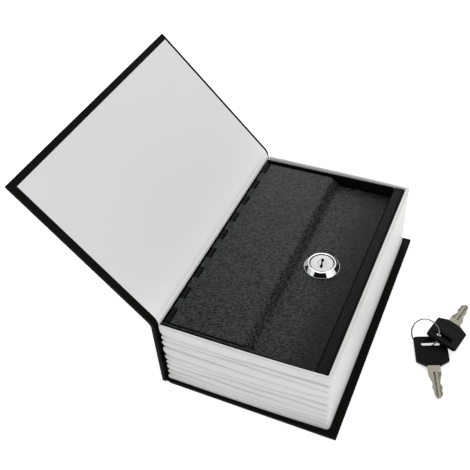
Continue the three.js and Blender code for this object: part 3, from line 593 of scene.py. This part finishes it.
def make_case():
    half = COVER_THICKNESS / 2
    groove_middle = CASE_LOW.x + COVER_THICKNESS + GROOVE_HALF
    groove = [(groove_middle + GROOVE_HALF * math.cos(a), GROOVE_DEPTH * math.sin(a), 0)
              for a in (math.pi * k / GROOVE_STEPS for k in range(GROOVE_STEPS + 1))]
    outer_end = cover_point(COVER_REACH, -half)
    inner_end = cover_point(COVER_REACH, half)
    corners = [(CASE_HIGH.x, 0, CASE_ROUND), *groove, (CASE_LOW.x, 0, CASE_ROUND)]
    corners += [(p.x, p.y, 0) for p in joint_points(-half)]
    corners += [(outer_end.x, outer_end.y, CASE_ROUND), (inner_end.x, inner_end.y, CASE_ROUND)]
    corners += [(p.x, p.y, 0) for p in reversed(joint_points(half))]
    corners += [(CASE_LOW.x + COVER_THICKNESS, COVER_THICKNESS, SPINE_INNER_ROUND),
                (CASE_HIGH.x, COVER_THICKNESS, CASE_ROUND)]
    outline = rounded_outline(corners)
    ends = [[Vector((p.x, y, p.y)) for p in outline] for y in (CASE_LOW.y, CASE_HIGH.y)]
    case = loft("case_leatherette", ends, "leatherette")
    round_edges(case, END_ROUND, END_SEGMENTS, END_SHARPER_THAN)
    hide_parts("case_wrap", "front_wrap", "cover_joint")
    blend_over_joint(case)


# Liner: the paper on the cover's inner side, with a crease along the joint, and painted light on the strip
# over the joint

LINER_THICKNESS = 0.22 * MM
LINER_GLUE = 0.03 * MM
LINER_NEAR = 4.5 * MM
LINER_FAR = 2.7 * MM
LINER_FORE = 4.5 * MM
LINER_TURNED_DOWN = 1.5 * MM
LINER_STATIONS = 60
LINER_CROWDING = 1.8
RIPPLE_HEIGHT = 0.05 * MM
RIPPLES_ALONG = 45
RIPPLES_ACROSS = 30
RIPPLE_LAYER = 3.1
STRIP_WIDTH = 4.8 * MM
STRIP_FADE = 13 * MM
CREASE_HALF = 0.45 * MM
CREASE_DEPTH = 0.15 * MM
# How far the painted light drops at the crease
PAINTED_LIGHT_STEP = 0.45


def liner_path(half, y):
    """The liner's line from behind the spine to the cover's edge, rippled on its upper side."""
    turned_steps = 4
    joint_steps = 32
    cover_steps = 80
    far_edge = COVER_REACH - LINER_FORE
    path = []
    for i in range(turned_steps):
        z = CASE_HIGH.z - LINER_TURNED_DOWN * (1 - i / turned_steps)
        path.append(Vector((COVER_AXIS.x + half, z)))
    path += joint_points(half, joint_steps)
    for i in range(1, cover_steps + 1):
        along = JOINT_BEYOND + (far_edge - JOINT_BEYOND) * (i / cover_steps) ** LINER_CROWDING
        ripple = 0
        if y is not None:
            ripple = noise.noise(Vector((along * RIPPLES_ALONG, y * RIPPLES_ACROSS, RIPPLE_LAYER)))
        path.append(cover_point(along, half + RIPPLE_HEIGHT * ripple))
    return path


def liner_side(lift, y=None):
    """Points of one side of the liner, each with its share of painted light; the upper side is given with its
    place.
    """
    path = liner_path(COVER_THICKNESS / 2 + lift, y)
    points = []
    reach = 0
    for i, here in enumerate(path):
        step = path[min(i + 1, len(path) - 1)] - path[max(i - 1, 0)]
        into_cover = Vector((-step.y, step.x)).normalized()
        reach += (here - path[i - 1]).length if i else 0
        past = reach - STRIP_WIDTH
        dent = 0 if y is None else CREASE_DEPTH * math.exp(-(past / CREASE_HALF) ** 2)
        # Full painted light on the strip, less past the crease, and fading from there onto the cover
        painted_light = 1 - PAINTED_LIGHT_STEP * (0.5 + 0.5 * math.tanh(past / CREASE_HALF))
        points.append((here + into_cover * dent, painted_light if past < 0 else painted_light * math.exp(-past / STRIP_FADE)))
    return points


def make_liner():
    """One sheet of paper from the cover's inner side over the joint, and turned down behind the spine."""
    y0 = CASE_LOW.y + LINER_NEAR
    y1 = CASE_HIGH.y - LINER_FAR
    under = liner_side(LINER_GLUE)
    sections = []
    painted_lightness = []
    for s in range(LINER_STATIONS + 1):
        y = y0 + (y1 - y0) * s / LINER_STATIONS
        line = under + liner_side(LINER_GLUE + LINER_THICKNESS, y)[::-1]
        sections.append([Vector((p.x, y, p.y)) for p, painted_light in line])
        painted_lightness += [painted_light for p, painted_light in line]
    liner = smooth(loft("liner_sheet", sections, "liner"))
    paint_points(liner, "painted_light", painted_lightness)
    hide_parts("front_endpaper", "spine_endpaper")
    blend_over_joint(liner)


# Page block: the moulded shell with its page-edge ribs

PAGE_FROM_SPINE = 4.2 * MM
PAGE_START = CASE_LOW.x + PAGE_FROM_SPINE
PAGE_FORE_WALL = 2.5 * MM
PAGE_END_WALL = 1.8 * MM
PAGE_SPLAY = 1.6 * MM
PAGE_SPLAY_CURVE = 3
PAGE_CORNER = 2.4 * MM
PAGE_INNER_CORNER = 0.6 * MM
PAGE_ROW = 0.3 * MM
WALL_STEPS = 60
WALL_CROWDING = 1.5
CORNER_STEPS = 12
RIM_ROUND = 0.6 * MM
RIM_STEPS = 4
RIM_INSET = 0.001
RIM_INNER_ROUND = 0.3 * MM

# Grooves: how far each lies below the rim in mm, their depth and their bulge, and the two waves in which
# they wander, each turned on a little from groove to groove
GROOVE_LEVELS = (8.4, 12.6, 19.8, 27.2, 32, 37.4, 42.6, 46.6)
RIB_DEPTH = 0.7 * MM
RIB_LEDGE = 0.7 * MM
RIB_BULGE = 2.5 * MM
BULGE_SHARE = 0.5
RIB_LEAST_WALL = 0.6 * MM
RIB_WAVE = 0.5 * MM
RIB_WAVE_LENGTH = 130 * MM
RIB_WAVE_TURN = 1.9
SHORT_WAVE_SHARE = 0.5
SHORT_WAVE_TIMES = 3.7
SHORT_WAVE_TURN = 2.3
DEPTH_VARIES = 0.3
DEPTH_TURN = 1.7
FAR_WALL_TURN = 2.2
# How deep a groove sinks before its painted shade starts
GROOVE_SHOWS = 0.2 * MM

# Ragged ends of the grooves at the spine, and the single leaves between them
RIB_END_DEPTH = 1.5
RIB_END_REACH = 1.4 * MM
RIB_RAGGED = 1.1 * MM
LEAF_DEPTH = 0.09 * MM
LEAF_WAVES_ALONG = 9
LEAF_WAVES_UP = 1400


def groove_share(above):
    """How much of its depth a groove has at a height above its middle: sharp below, bulging above."""
    ledge = math.exp(-((above / RIB_LEDGE) ** 2))
    bulge = math.exp(-above / RIB_BULGE)
    return ledge if above < 0 else BULGE_SHARE * bulge + (1 - BULGE_SHARE) * ledge


def rib_sink(z, along, phase):
    """How far the page edges sink below the shell's face: wandering grooves, and single leaves."""
    turn = 2 * math.pi * along / RIB_WAVE_LENGTH
    at_spine = math.exp(-(along - PAGE_START) / RIB_END_REACH)
    sink = 0
    for k, level in enumerate(GROOVE_LEVELS):
        short_wave = math.sin(SHORT_WAVE_TIMES * turn + SHORT_WAVE_TURN * k)
        wander = RIB_WAVE * (math.sin(turn + RIB_WAVE_TURN * k + phase) + SHORT_WAVE_SHARE * short_wave)
        deeper = DEPTH_VARIES * math.sin(DEPTH_TURN * k + turn + phase) + RIB_END_DEPTH * at_spine
        sink += RIB_DEPTH * (1 + deeper) * groove_share(z - PAGE_HIGH.z + level * MM - wander)
    leaves = noise.noise(Vector((along * LEAF_WAVES_ALONG, phase, z * LEAF_WAVES_UP)))
    return min(PAGE_END_WALL - RIB_LEAST_WALL, sink) + LEAF_DEPTH * leaves


def wall_stations():
    """Along an end wall and round its corner: the face, the back, the way out and the share of ribs."""
    end_y = PAGE_HIGH.y - PAGE_SPLAY
    corner = Vector((PAGE_HIGH.x - PAGE_CORNER, end_y - PAGE_CORNER))
    inner = Vector((PAGE_HIGH.x - PAGE_FORE_WALL - PAGE_INNER_CORNER,
                    end_y - PAGE_END_WALL - PAGE_INNER_CORNER))
    stations = []
    for i in range(WALL_STEPS + 1):
        t = (i / WALL_STEPS) ** WALL_CROWDING
        y = end_y + PAGE_SPLAY * (1 - t ** PAGE_SPLAY_CURVE)
        face = Vector((PAGE_START + (corner.x - PAGE_START) * t, y))
        back = Vector((PAGE_START + (inner.x - PAGE_START) * t, y - PAGE_END_WALL))
        stations.append((face, back, Vector((0, 1)), 1))
    for i in range(1, CORNER_STEPS + 1):
        angle = math.pi / 2 * (1 - i / CORNER_STEPS)
        out = Vector((math.cos(angle), math.sin(angle)))
        ribs = max(0, 1 - 2 * i / CORNER_STEPS)
        stations.append((corner + out * PAGE_CORNER, inner + out * PAGE_INNER_CORNER, out, ribs))
    return stations


def wall_section(side, face, back, out, ribs):
    """Points up the wall's face, over its rim and down its back, each with how much painted shade it gets in
    the grooves.
    """
    phase = FAR_WALL_TURN if side > 0 else 0
    ragged = RIB_RAGGED * max(0, 1 - (face.x - PAGE_START) / RIB_END_REACH)
    face_height = PAGE_HIGH.z - RIM_ROUND - PAGE_LOW.z
    rows = round(face_height / PAGE_ROW)
    points = []

    def put(share, sink, z, rag=0, groove_shade=0):
        at = face.lerp(back, share) - out * sink
        points.append((Vector((at.x + rag, side * at.y, z)), groove_shade))

    for i in range(rows + 1):
        z = PAGE_LOW.z + face_height * i / rows
        sink = ribs * rib_sink(z, face.x, phase) if ribs else 0
        rag = ragged * min(1, max(0, sink) / (RIB_DEPTH * (1 + RIB_END_DEPTH)))
        put(0, sink, z, rag, min(1, max(0, sink - GROOVE_SHOWS) / RIB_DEPTH))
    for k in range(1, RIM_STEPS + 1):
        angle = math.pi / 2 * k / RIM_STEPS
        put(RIM_INSET, RIM_ROUND * (1 - math.cos(angle)), PAGE_HIGH.z - RIM_ROUND * (1 - math.sin(angle)))
    put(1 - RIM_INNER_ROUND / (face - back).length, 0, PAGE_HIGH.z)
    put(1, 0, PAGE_HIGH.z - RIM_INNER_ROUND)
    put(1, 0, PAGE_LOW.z)
    return points


def make_pages():
    stations = wall_stations()
    sections = [wall_section(-1, *station) for station in stations]
    sections += [wall_section(1, *station) for station in reversed(stations)]
    pages = smooth(loft("page_block", [[at for at, groove_shade in section] for section in sections], "pages"))
    paint_points(pages, "groove_shade", [groove_shade for section in sections for at, groove_shade in section])
    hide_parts("page_shell")
    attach(pages, "case")


# Solids that keep their shape: a finer copy with clean faces and rounded edges

DRESSED_FLAT_WITHIN = 0.6
DRESSED_SEGMENTS = 2
DRESSED_SHARPER_THAN = 35
SHEET_EDGE = 0.18 * MM
SMALL_EDGE = 0.1 * MM
PLUG_EDGE = 0.06 * MM


def dress(node, slot, edge, finish=None):
    """A piece that stands for a solid, with its own edges rounded."""
    source = frame["nodes"][node]
    mesh = source.data.copy()
    mesh.name = node + "_dressed"
    shape = bmesh.new()
    shape.from_mesh(mesh)
    bmesh.ops.remove_doubles(shape, verts=shape.verts, dist=MERGE_WITHIN)
    bmesh.ops.dissolve_limit(shape, angle_limit=math.radians(DRESSED_FLAT_WITHIN), verts=shape.verts,
                             edges=shape.edges)
    shape.to_mesh(mesh)
    shape.free()
    mesh.materials.clear()
    mesh.materials.append(finish or MATERIALS[slot])
    piece = put_in_scene(node + "_dressed", mesh)
    round_edges(piece, edge, DRESSED_SEGMENTS, DRESSED_SHARPER_THAN)
    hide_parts(node)
    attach(piece, source["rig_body"])
    return piece


def paint(node, slot):
    """A node that stays as it is, with its finish."""
    mesh = frame["nodes"][node].data
    mesh.materials.clear()
    mesh.materials.append(MATERIALS[slot])


# Hems: the folded top edges of the box's end walls

HEM_THICKNESS = 1 * MM
HEM_ROUND = 0.4 * MM
HEM_FROM = 2.3 * MM
HEM_TOP = 0.9 * MM
HEM_TO_FORE = 8.2 * MM


def make_hems():
    low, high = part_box("box_body")
    outer = high.y
    inner = outer - HEM_THICKNESS
    flange_edge = high.x - HEM_TO_FORE
    outline = rounded_outline([(inner, HEM_FROM, 0), (outer, HEM_FROM, 0), (outer, HEM_TOP, HEM_ROUND),
                               (inner, HEM_TOP, HEM_ROUND)], steps=4)
    # The near hem has the lid's powder coat, the far one the darker copy, as painted shade under the far rim
    for name, side, finish in (("near", -1, LID_PAINT), ("far", 1, SHADED_BOX_PAINT)):
        sections = [[Vector((x, side * p.x, PAGE_HIGH.z - p.y)) for p in outline]
                    for x in (low.x, flange_edge)]
        hem = shade_flats(loft(f"box_hem_{name}", sections, "painted_steel"), sharp_from=60)
        hem.data.materials[0] = finish
        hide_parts("box_body")
        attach(hem, "case")


# Key heads: a moulded grip with a slot, and a raised border round its face

KEY_PLACES = {
    "a": ((98.95, -18.65, 3), (3.66, -3.07, 20.24)),
    "b": ((103.87, 17.3, 5.77), (9.89, -9.92, 167.52)),
}
HEAD_HALF = 10.4 * MM
HEAD_HEIGHT = 22 * MM
HEAD_HALF_THICKNESS = 1.4 * MM
HEAD_CORNER = 2 * MM
HEAD_EDGE = 0.35 * MM
NECK_HALF = 4.4 * MM
NECK_RISE = 3.5 * MM
NECK_ROUND = 0.4 * MM
SHOULDER_ROUND = 0.8 * MM
SLOTS = {
    "a": (-6 * MM, 6 * MM, 14.95 * MM, 17.95 * MM),
    "b": (-5.6 * MM, 5.6 * MM, 15 * MM, 19.3 * MM),
}
SLOT_ROUND = 0.45
BORDER_INSET = 2.1 * MM
BORDER_WIDTH = 0.5 * MM
BORDER_HEIGHT = 0.22 * MM
BORDER_LOW = 4.6 * MM
BORDER_HIGH = 13.6 * MM
BORDER_ROUND = 0.6 * MM
BORDER_EDGE = 0.1 * MM
# Key B's dark web in its slot, a dark sheet that stands in for the shade under the slot
SHADE_WEB_GAP = (2.3 * MM, 4.8 * MM)
SHADE_WEB_THICKNESS = 0.6 * MM
SHADE_WEB_LEVEL = -0.7 * MM
SHADE_WEB_EDGE = 0.05 * MM


def plate(name, outlines, depth, edge, level):
    """A flat plate through closed outlines, the later ones holes in the first, with rounded edges."""
    data = bpy.data.curves.new(name, "CURVE")
    data.dimensions = "2D"
    data.fill_mode = "BOTH"
    data.extrude = depth / 2 - edge
    data.bevel_depth = edge
    data.bevel_resolution = 2
    data.offset = -edge
    for outline in outlines:
        spline = data.splines.new("POLY")
        spline.points.add(len(outline) - 1)
        for point, at in zip(spline.points, outline):
            point.co = (at.x, at.y, 0, 1)
        spline.use_cyclic_u = True
    shape = put_in_scene(name, data)
    mesh = bpy.data.meshes.new_from_object(shape.evaluated_get(bpy.context.evaluated_depsgraph_get()))
    bpy.data.objects.remove(shape)
    mesh.transform(Matrix.Translation((0, 0, level)))
    return mesh


def key_frame(name):
    """Where a key lies on the table, from its place in mm and its pitch, roll and turn in degrees."""
    base, (pitch, roll, turn) = KEY_PLACES[name]
    place = Matrix.Translation([v * MM for v in base])
    for degrees, axis in ((turn, "Z"), (pitch, "X"), (roll, "Y")):
        place = place @ Matrix.Rotation(math.radians(degrees), 4, axis)
    return place


def slot_plates(x0, x1, y0, y1, slot_round, level):
    """Key B's thin dark web across its slot, in two parts, which stands in for the shade under the slot, and
    the raised rim round the slot.
    """
    meshes = []
    for start, end in ((x0 - BORDER_WIDTH, SHADE_WEB_GAP[0]), (SHADE_WEB_GAP[1], x1 + BORDER_WIDTH)):
        shade_web = rounded_box(start, end, y0 - BORDER_WIDTH, y1 + BORDER_WIDTH, BORDER_WIDTH)
        meshes.append(plate("shade_web", [shade_web], SHADE_WEB_THICKNESS, SHADE_WEB_EDGE, SHADE_WEB_LEVEL))
    rim = [rounded_box(x0 - d, x1 + d, y0 - d, y1 + d, slot_round + d) for d in (BORDER_WIDTH, 0)]
    meshes.append(plate("rim", rim, 2 * BORDER_HEIGHT, BORDER_EDGE, level))
    return meshes


def make_key_head(name):
    grip = rounded_outline([
        (-NECK_HALF, 0, NECK_ROUND), (NECK_HALF, 0, NECK_ROUND), (HEAD_HALF, NECK_RISE, SHOULDER_ROUND),
        (HEAD_HALF, HEAD_HEIGHT, HEAD_CORNER), (-HEAD_HALF, HEAD_HEIGHT, HEAD_CORNER),
        (-HEAD_HALF, NECK_RISE, SHOULDER_ROUND)])
    x0, x1, y0, y1 = SLOTS[name]
    slot_round = SLOT_ROUND * (y1 - y0)
    slot = rounded_box(x0, x1, y0, y1, slot_round)
    level = HEAD_HALF_THICKNESS - BORDER_HEIGHT
    meshes = [plate("grip", [grip, slot], 2 * level, HEAD_EDGE, 0)]
    side = HEAD_HALF - BORDER_INSET
    border = [rounded_box(-side + d, side - d, BORDER_LOW + d, BORDER_HIGH - d, BORDER_ROUND)
              for d in (0, BORDER_WIDTH)]
    for facing in (-1, 1):
        meshes.append(plate("border", border, 2 * BORDER_HEIGHT, BORDER_EDGE, facing * level))
    # Key B's slot gets the dark web, as painted shade
    if name == "b":
        meshes += slot_plates(x0, x1, y0, y1, slot_round, level)
    shape = bmesh.new()
    for mesh in meshes:
        shape.from_mesh(mesh)
        bpy.data.meshes.remove(mesh)
    bmesh.ops.remove_doubles(shape, verts=shape.verts, dist=MERGE_WITHIN)
    shape.transform(key_frame(name))
    mesh = bpy.data.meshes.new(f"key_{name}_grip")
    shape.to_mesh(mesh)
    shape.free()
    mesh.materials.append(MATERIALS["black_plastic"])
    head = shade_flats(put_in_scene(f"key_{name}_grip", mesh))
    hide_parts(f"key_{name}_head")
    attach(head, frame["nodes"][f"key_{name}_head"]["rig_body"])


# Key blades: distances from the head with how far the left and the right edge are from the middle, in mm

BLADE_EDGES = (
    (-3, 3, 3), (-0.05, 3, 3), (0, 4, 4), (6.4, 3.9, 4.1), (8.6, 3, 3.4), (11.6, 2.2, 2.7), (13, 2, 2.6),
    (14.2, 2.6, 3.4), (15.8, 2.5, 3.6), (17.5, 1.8, 3.1), (19.5, 1.9, 3.4), (21.2, 1.4, 2.8),
    (22.3, 0.7, 1.6), (22.8, 0, 0.8),
)
BLADE_STATIONS = 130
BLADE_HALF_THICKNESS = 0.9 * MM
BLADE_BEVEL = 0.16 * MM

# Milling on both faces, which starts a little below the head
MILLED_FROM = 4.3
MILLED_RAMP = 0.4
MILLED_DEPTH = 0.38 * MM
MILLED_SIDE = (1.7 * MM, 2 * MM)
GROOVE_MIDDLE = -0.3 * MM
GROOVE_FLOOR_HALF = 0.3 * MM
GROOVE_TOP_HALF = 0.55 * MM

# Dirt and painted shade: a little dirt on the faces, painted shade on the edges and at the start of the side
# milling, and both in the groove, most of it near the head
DIRT_AND_SHADE_FADE = 2.2
FACE_DIRT = 0.1
EDGE_SHADE = 0.5
GROOVE_DIRT_AND_SHADE = (0.6, 0.4)
SIDE_SHADE = 0.85


def blade_edges(from_head):
    """How far the blade's two edges are from its middle, at a distance from the head."""
    for (start, *here), (end, *there) in zip(BLADE_EDGES, BLADE_EDGES[1:]):
        if from_head <= end:
            t = ease((from_head - start) / (end - start))
            return [(a + (b - a) * t) * MM for a, b in zip(here, there)]


def blade_face(from_head, left, right):
    """One face across the blade: how far each point is from the middle, how sunk it is, and how much dirt and
    painted shade it has.
    """
    milled = min(1, max(0, (from_head - MILLED_FROM) / MILLED_RAMP))
    near_head = math.exp(-max(0, from_head - MILLED_FROM) / DIRT_AND_SHADE_FADE)
    depth = MILLED_DEPTH * milled
    in_groove = milled * (GROOVE_DIRT_AND_SHADE[0] + GROOVE_DIRT_AND_SHADE[1] * near_head)
    return [
        (-left, BLADE_BEVEL, EDGE_SHADE),
        (BLADE_BEVEL - left, 0, FACE_DIRT),
        (GROOVE_MIDDLE - GROOVE_TOP_HALF, 0, FACE_DIRT),
        (GROOVE_MIDDLE - GROOVE_FLOOR_HALF, depth, in_groove),
        (GROOVE_MIDDLE + GROOVE_FLOOR_HALF, depth, in_groove),
        (GROOVE_MIDDLE + GROOVE_TOP_HALF, 0, FACE_DIRT),
        (MILLED_SIDE[0], 0, FACE_DIRT),
        (MILLED_SIDE[1], depth, EDGE_SHADE * milled),
        (right - BLADE_BEVEL, depth, FACE_DIRT + SIDE_SHADE * milled * near_head),
        (right, depth + BLADE_BEVEL, EDGE_SHADE),
    ]


def make_key_blade(name):
    place = key_frame(name)
    first = BLADE_EDGES[0][0]
    last = BLADE_EDGES[-1][0]
    sections = []
    dirt_and_shade = []
    for i in range(BLADE_STATIONS + 1):
        from_head = first + (last - first) * i / BLADE_STATIONS
        left, right = blade_edges(from_head)
        face = blade_face(from_head, left, right)
        section = []
        for facing, points in ((1, face), (-1, face[::-1])):
            for x, sunk, dark in points:
                across = max(-left, min(right, x))
                lift = facing * (BLADE_HALF_THICKNESS - sunk)
                section.append(place @ Vector((across, -from_head * MM, lift)))
                dirt_and_shade.append(dark)
        sections.append(section)
    blade = smooth(loft(f"key_{name}_cut_blade", sections, "blade_nickel"), sharp_from=40)
    paint_points(blade, "dirt_and_shade", dirt_and_shade)
    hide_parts(f"key_{name}_blade")
    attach(blade, frame["nodes"][f"key_{name}_blade"]["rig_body"])


# Lock: the flatted barrel, a turned bezel on top of it, and painted shade in the gap and the keyway

BARREL_CUT = 0.5 * MM
BEZEL_RADIUS = 11.45 * MM
BEZEL_FACE_RADIUS = 9 * MM
BEZEL_HEIGHT = 3.1 * MM
BEZEL_FOOT = 0.6 * MM
BEZEL_SEAT = 0.15 * MM
BEZEL_LIP = 0.35 * MM
BEZEL_LIP_ROUND = 0.1 * MM
BEZEL_SOFTNESS = 0.3 * MM
BEZEL_SIDES = 128
RECESS_RADIUS = 8.1 * MM
RECESS_DEPTH = 2 * MM
RECESS_ROUND = 0.08 * MM
SHADE_BEYOND = 0.02 * MM
UPRIGHT_BELOW = 0.5


def blacken(piece, within):
    """Gives the upright faces near the lock's axis a near-black finish, as painted shade."""
    mesh = piece.data
    mesh.materials.append(RECESS_SHADE)
    for face in mesh.polygons:
        from_axis = (face.center - LOCK_PLACE).to_2d().length
        if abs(face.normal.z) < UPRIGHT_BELOW and from_axis < within:
            face.material_index = 1


def make_barrel():
    """The lock's housing, cut off where the bezel begins."""
    barrel = dress("lock_housing", "chrome", SMALL_EDGE)
    shape = bmesh.new()
    shape.from_mesh(barrel.data)
    cut = bmesh.ops.bisect_plane(
        shape, geom=[*shape.verts, *shape.edges, *shape.faces], clear_outer=True,
        plane_co=LOCK_PLACE + Vector((0, 0, BARREL_CUT)), plane_no=(0, 0, 1))
    rim = [edge for edge in cut["geom_cut"] if isinstance(edge, bmesh.types.BMEdge)]
    bmesh.ops.holes_fill(shape, edges=rim, sides=0)
    shape.to_mesh(barrel.data)
    shape.free()
    shade_flats(barrel, sharp_from=40)


def make_bezel():
    outline = rounded_outline([
        (RECESS_RADIUS, BEZEL_FOOT, 0), (BEZEL_RADIUS - BEZEL_LIP, BEZEL_FOOT, 0),
        (BEZEL_RADIUS, BEZEL_SEAT + BEZEL_LIP, BEZEL_LIP_ROUND),
        (BEZEL_FACE_RADIUS, BEZEL_HEIGHT, BEZEL_SOFTNESS),
        (RECESS_RADIUS, BEZEL_HEIGHT, RECESS_ROUND),
        (RECESS_RADIUS, BEZEL_HEIGHT - RECESS_DEPTH, 0)], steps=4)
    sections = []
    for k in range(BEZEL_SIDES):
        angle = 2 * math.pi * k / BEZEL_SIDES
        turned = [Vector((p.x * math.cos(angle), p.x * math.sin(angle), p.y)) for p in outline]
        sections.append([LOCK_PLACE + at for at in turned])
    bezel = loft("lock_bezel", sections, "chrome", ring=True)
    shade_flats(bezel, sharp_from=30)
    blacken(bezel, RECESS_RADIUS + SHADE_BEYOND)
    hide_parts("lock_housing")
    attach(bezel, frame["nodes"]["lock_housing"]["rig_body"])


# Key ring: nearly two turns of wire, which climb past each other at one place

WIRE_RADIUS = 0.4 * MM
WIRE_SIDES = 12
RING_RADIUS = 9 * MM
RING_RISE = 0.98 * MM
RING_CLIMB = 45
RING_STEP_AT = 150
RING_STEPS = 120


def make_ring():
    total = 2 * 360 - RING_CLIMB
    sideways = Vector((0, 0, 1)).cross(RING_AXIS).normalized()
    local_x = sideways.cross(RING_AXIS).normalized()
    sections = []
    for i in range(RING_STEPS + 1):
        degrees = RING_CLIMB / 2 + total * i / RING_STEPS
        climbed = min(1, max(0, (degrees - 360 + RING_CLIMB / 2) / RING_CLIMB))
        level = (ease(climbed) - 0.5) * RING_RISE
        angle = math.radians(degrees + RING_STEP_AT)
        out = local_x * math.cos(angle) + sideways * math.sin(angle)
        centre = RING_CENTRE + out * RING_RADIUS + RING_AXIS * level
        section = []
        for k in range(WIRE_SIDES):
            corner = 2 * math.pi * k / WIRE_SIDES
            section.append(centre + (out * math.cos(corner) + RING_AXIS * math.sin(corner)) * WIRE_RADIUS)
        sections.append(section)
    ring = smooth(loft("split_ring", sections, "plated_steel"))
    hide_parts("key_ring")
    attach(ring, "ring")


# Studio: a white tent with two soft boxes, and cards that only the gloss shows

CAMERA_PLACE = (0.1131, -0.3055, 0.3766)
CAMERA_TURN = (46.63, 3.37, 23.95)
CAMERA_LENS = 54.22
CAMERA_SENSOR = 36
FLOOR_HALF = 3
FLOOR_LEVEL = -0.2 * MM
FLOOR_GLOW = 0.5
TENT_SIDES = 0.83
TENT_TOP = 1.0
TENT_GLOSS = 0.95

# Each soft box with its name, place, size and power
SOFTBOXES = (
    ("softbox_far", (-0.45, 1.25, 0.75), 0.7, 7.0),
    ("softbox_right", (0.9, -0.3, 0.6), 0.5, 1.0),
)
SOFTBOX_AIM = Vector((0, 0, 0.03))

# Each card with its name, its first and last heading round the lock, its lowest and highest angle above it,
# its distance and its tone
CARDS = (
    ("dark_card_near", (-124, -39), (26, 55), 0.75, 0.004),
    ("dark_card_right", (22, 46), (8, 27), 0.75, 0.004),
    ("pale_card_left", (-220, -165), (-12, 17), 0.014, 0.45),
)
CARD_MIDDLE = Vector((0.0177, -0.0008, 0.048))
CARD_STEPS = 16


def glowing(name, color, glow):
    """A dull finish with a light of its own."""
    finish = Finish(name, color, 0.9, specular=0)
    finish.give(Emission_Color=(1, 1, 1, 1), Emission_Strength=glow)
    return finish.material


def new_sheet(name, vertices, faces, finish):
    mesh = bpy.data.meshes.new(name)
    mesh.from_pydata(vertices, [], faces)
    mesh.materials.append(finish)
    sheet = put_in_scene(name, mesh)
    return sheet


def make_floor():
    corners = [(x * FLOOR_HALF, y * FLOOR_HALF, FLOOR_LEVEL) for x, y in ((-1, -1), (1, -1), (1, 1), (-1, 1))]
    new_sheet("floor", corners, [(0, 1, 2, 3)], glowing("pale_floor", (0.9, 0.9, 0.9), FLOOR_GLOW))


def make_card(name, headings, lifts, distance, tone):
    """A sheet bent round the lock, between two headings and two heights in degrees, that only gloss shows."""
    vertices = []
    for i in range(CARD_STEPS + 1):
        heading = math.radians(headings[0] + (headings[1] - headings[0]) * i / CARD_STEPS)
        for lift in map(math.radians, lifts):
            level = math.cos(lift)
            out = Vector((math.cos(heading) * level, math.sin(heading) * level, math.sin(lift)))
            vertices.append(CARD_MIDDLE + out * distance)
    faces = [(2 * i, 2 * i + 1, 2 * i + 3, 2 * i + 2) for i in range(CARD_STEPS)]
    card = new_sheet(name, vertices, faces, glowing(name, (0, 0, 0), tone))
    card.visible_camera = False
    card.visible_diffuse = False
    card.visible_transmission = False
    card.visible_shadow = False


def make_tent():
    """White all round, brighter overhead, with tones of its own for the gloss and behind the part."""
    world = bpy.data.worlds.new("tent")
    bpy.context.scene.world = world
    world.use_nodes = True
    tree = world.node_tree
    sky = tree.nodes["Background"]
    sky.inputs["Color"].default_value = (1, 1, 1, 1)
    fall = range_node(tree, coordinate(tree, "Generated", "Z"), (0, 1), (TENT_SIDES, TENT_TOP))
    rays = add_node(tree, "ShaderNodeLightPath")
    glossy = mix_node(tree, rays.outputs["Is Glossy Ray"], fall, TENT_GLOSS)
    tree.links.new(mix_node(tree, rays.outputs["Is Camera Ray"], glossy, 1), sky.inputs["Strength"])


def make_softbox(name, place, size, power):
    light = bpy.data.lights.new(name, "AREA")
    light.shape = "SQUARE"
    light.size = size
    light.energy = power
    lamp = put_in_scene(name, light)
    lamp.location = place
    lamp.rotation_euler = (SOFTBOX_AIM - Vector(place)).to_track_quat("-Z", "Y").to_euler()


def make_camera():
    """The photograph's view."""
    data = bpy.data.cameras.new("photo_view")
    data.lens = CAMERA_LENS
    data.sensor_width = CAMERA_SENSOR
    camera = put_in_scene("photo_view", data)
    camera.location = CAMERA_PLACE
    camera.rotation_euler = [math.radians(a) for a in CAMERA_TURN]
    bpy.context.scene.camera = camera


# The whole scene

make_camera()
make_floor()
for card in CARDS:
    make_card(*card)
make_tent()
for softbox in SOFTBOXES:
    make_softbox(*softbox)

make_case()
make_liner()
make_pages()
make_hems()
dress("box_body", "painted_steel", SHEET_EDGE, SHADED_BOX_PAINT)
dress("lid", "painted_steel", SHEET_EDGE)
blacken(dress("lock_plug", "plug_nickel", PLUG_EDGE), BEZEL_RADIUS)
for node in ("hinge_pin", "catch_bracket", "lock_washer", "lock_nut", "stop_washer", "lock_cam", "cam_screw"):
    dress(node, "plated_steel", SMALL_EDGE)
for key in ("a", "b"):
    make_key_head(key)
    make_key_blade(key)
for node in ("front_board", "back_board", "spine_board"):
    paint(node, "board")
for k in range(1, 6):
    paint(f"wafer_{k}", "brass")
make_barrel()
make_bezel()
make_ring()

bpy.context.scene.view_settings.view_transform = "Standard"
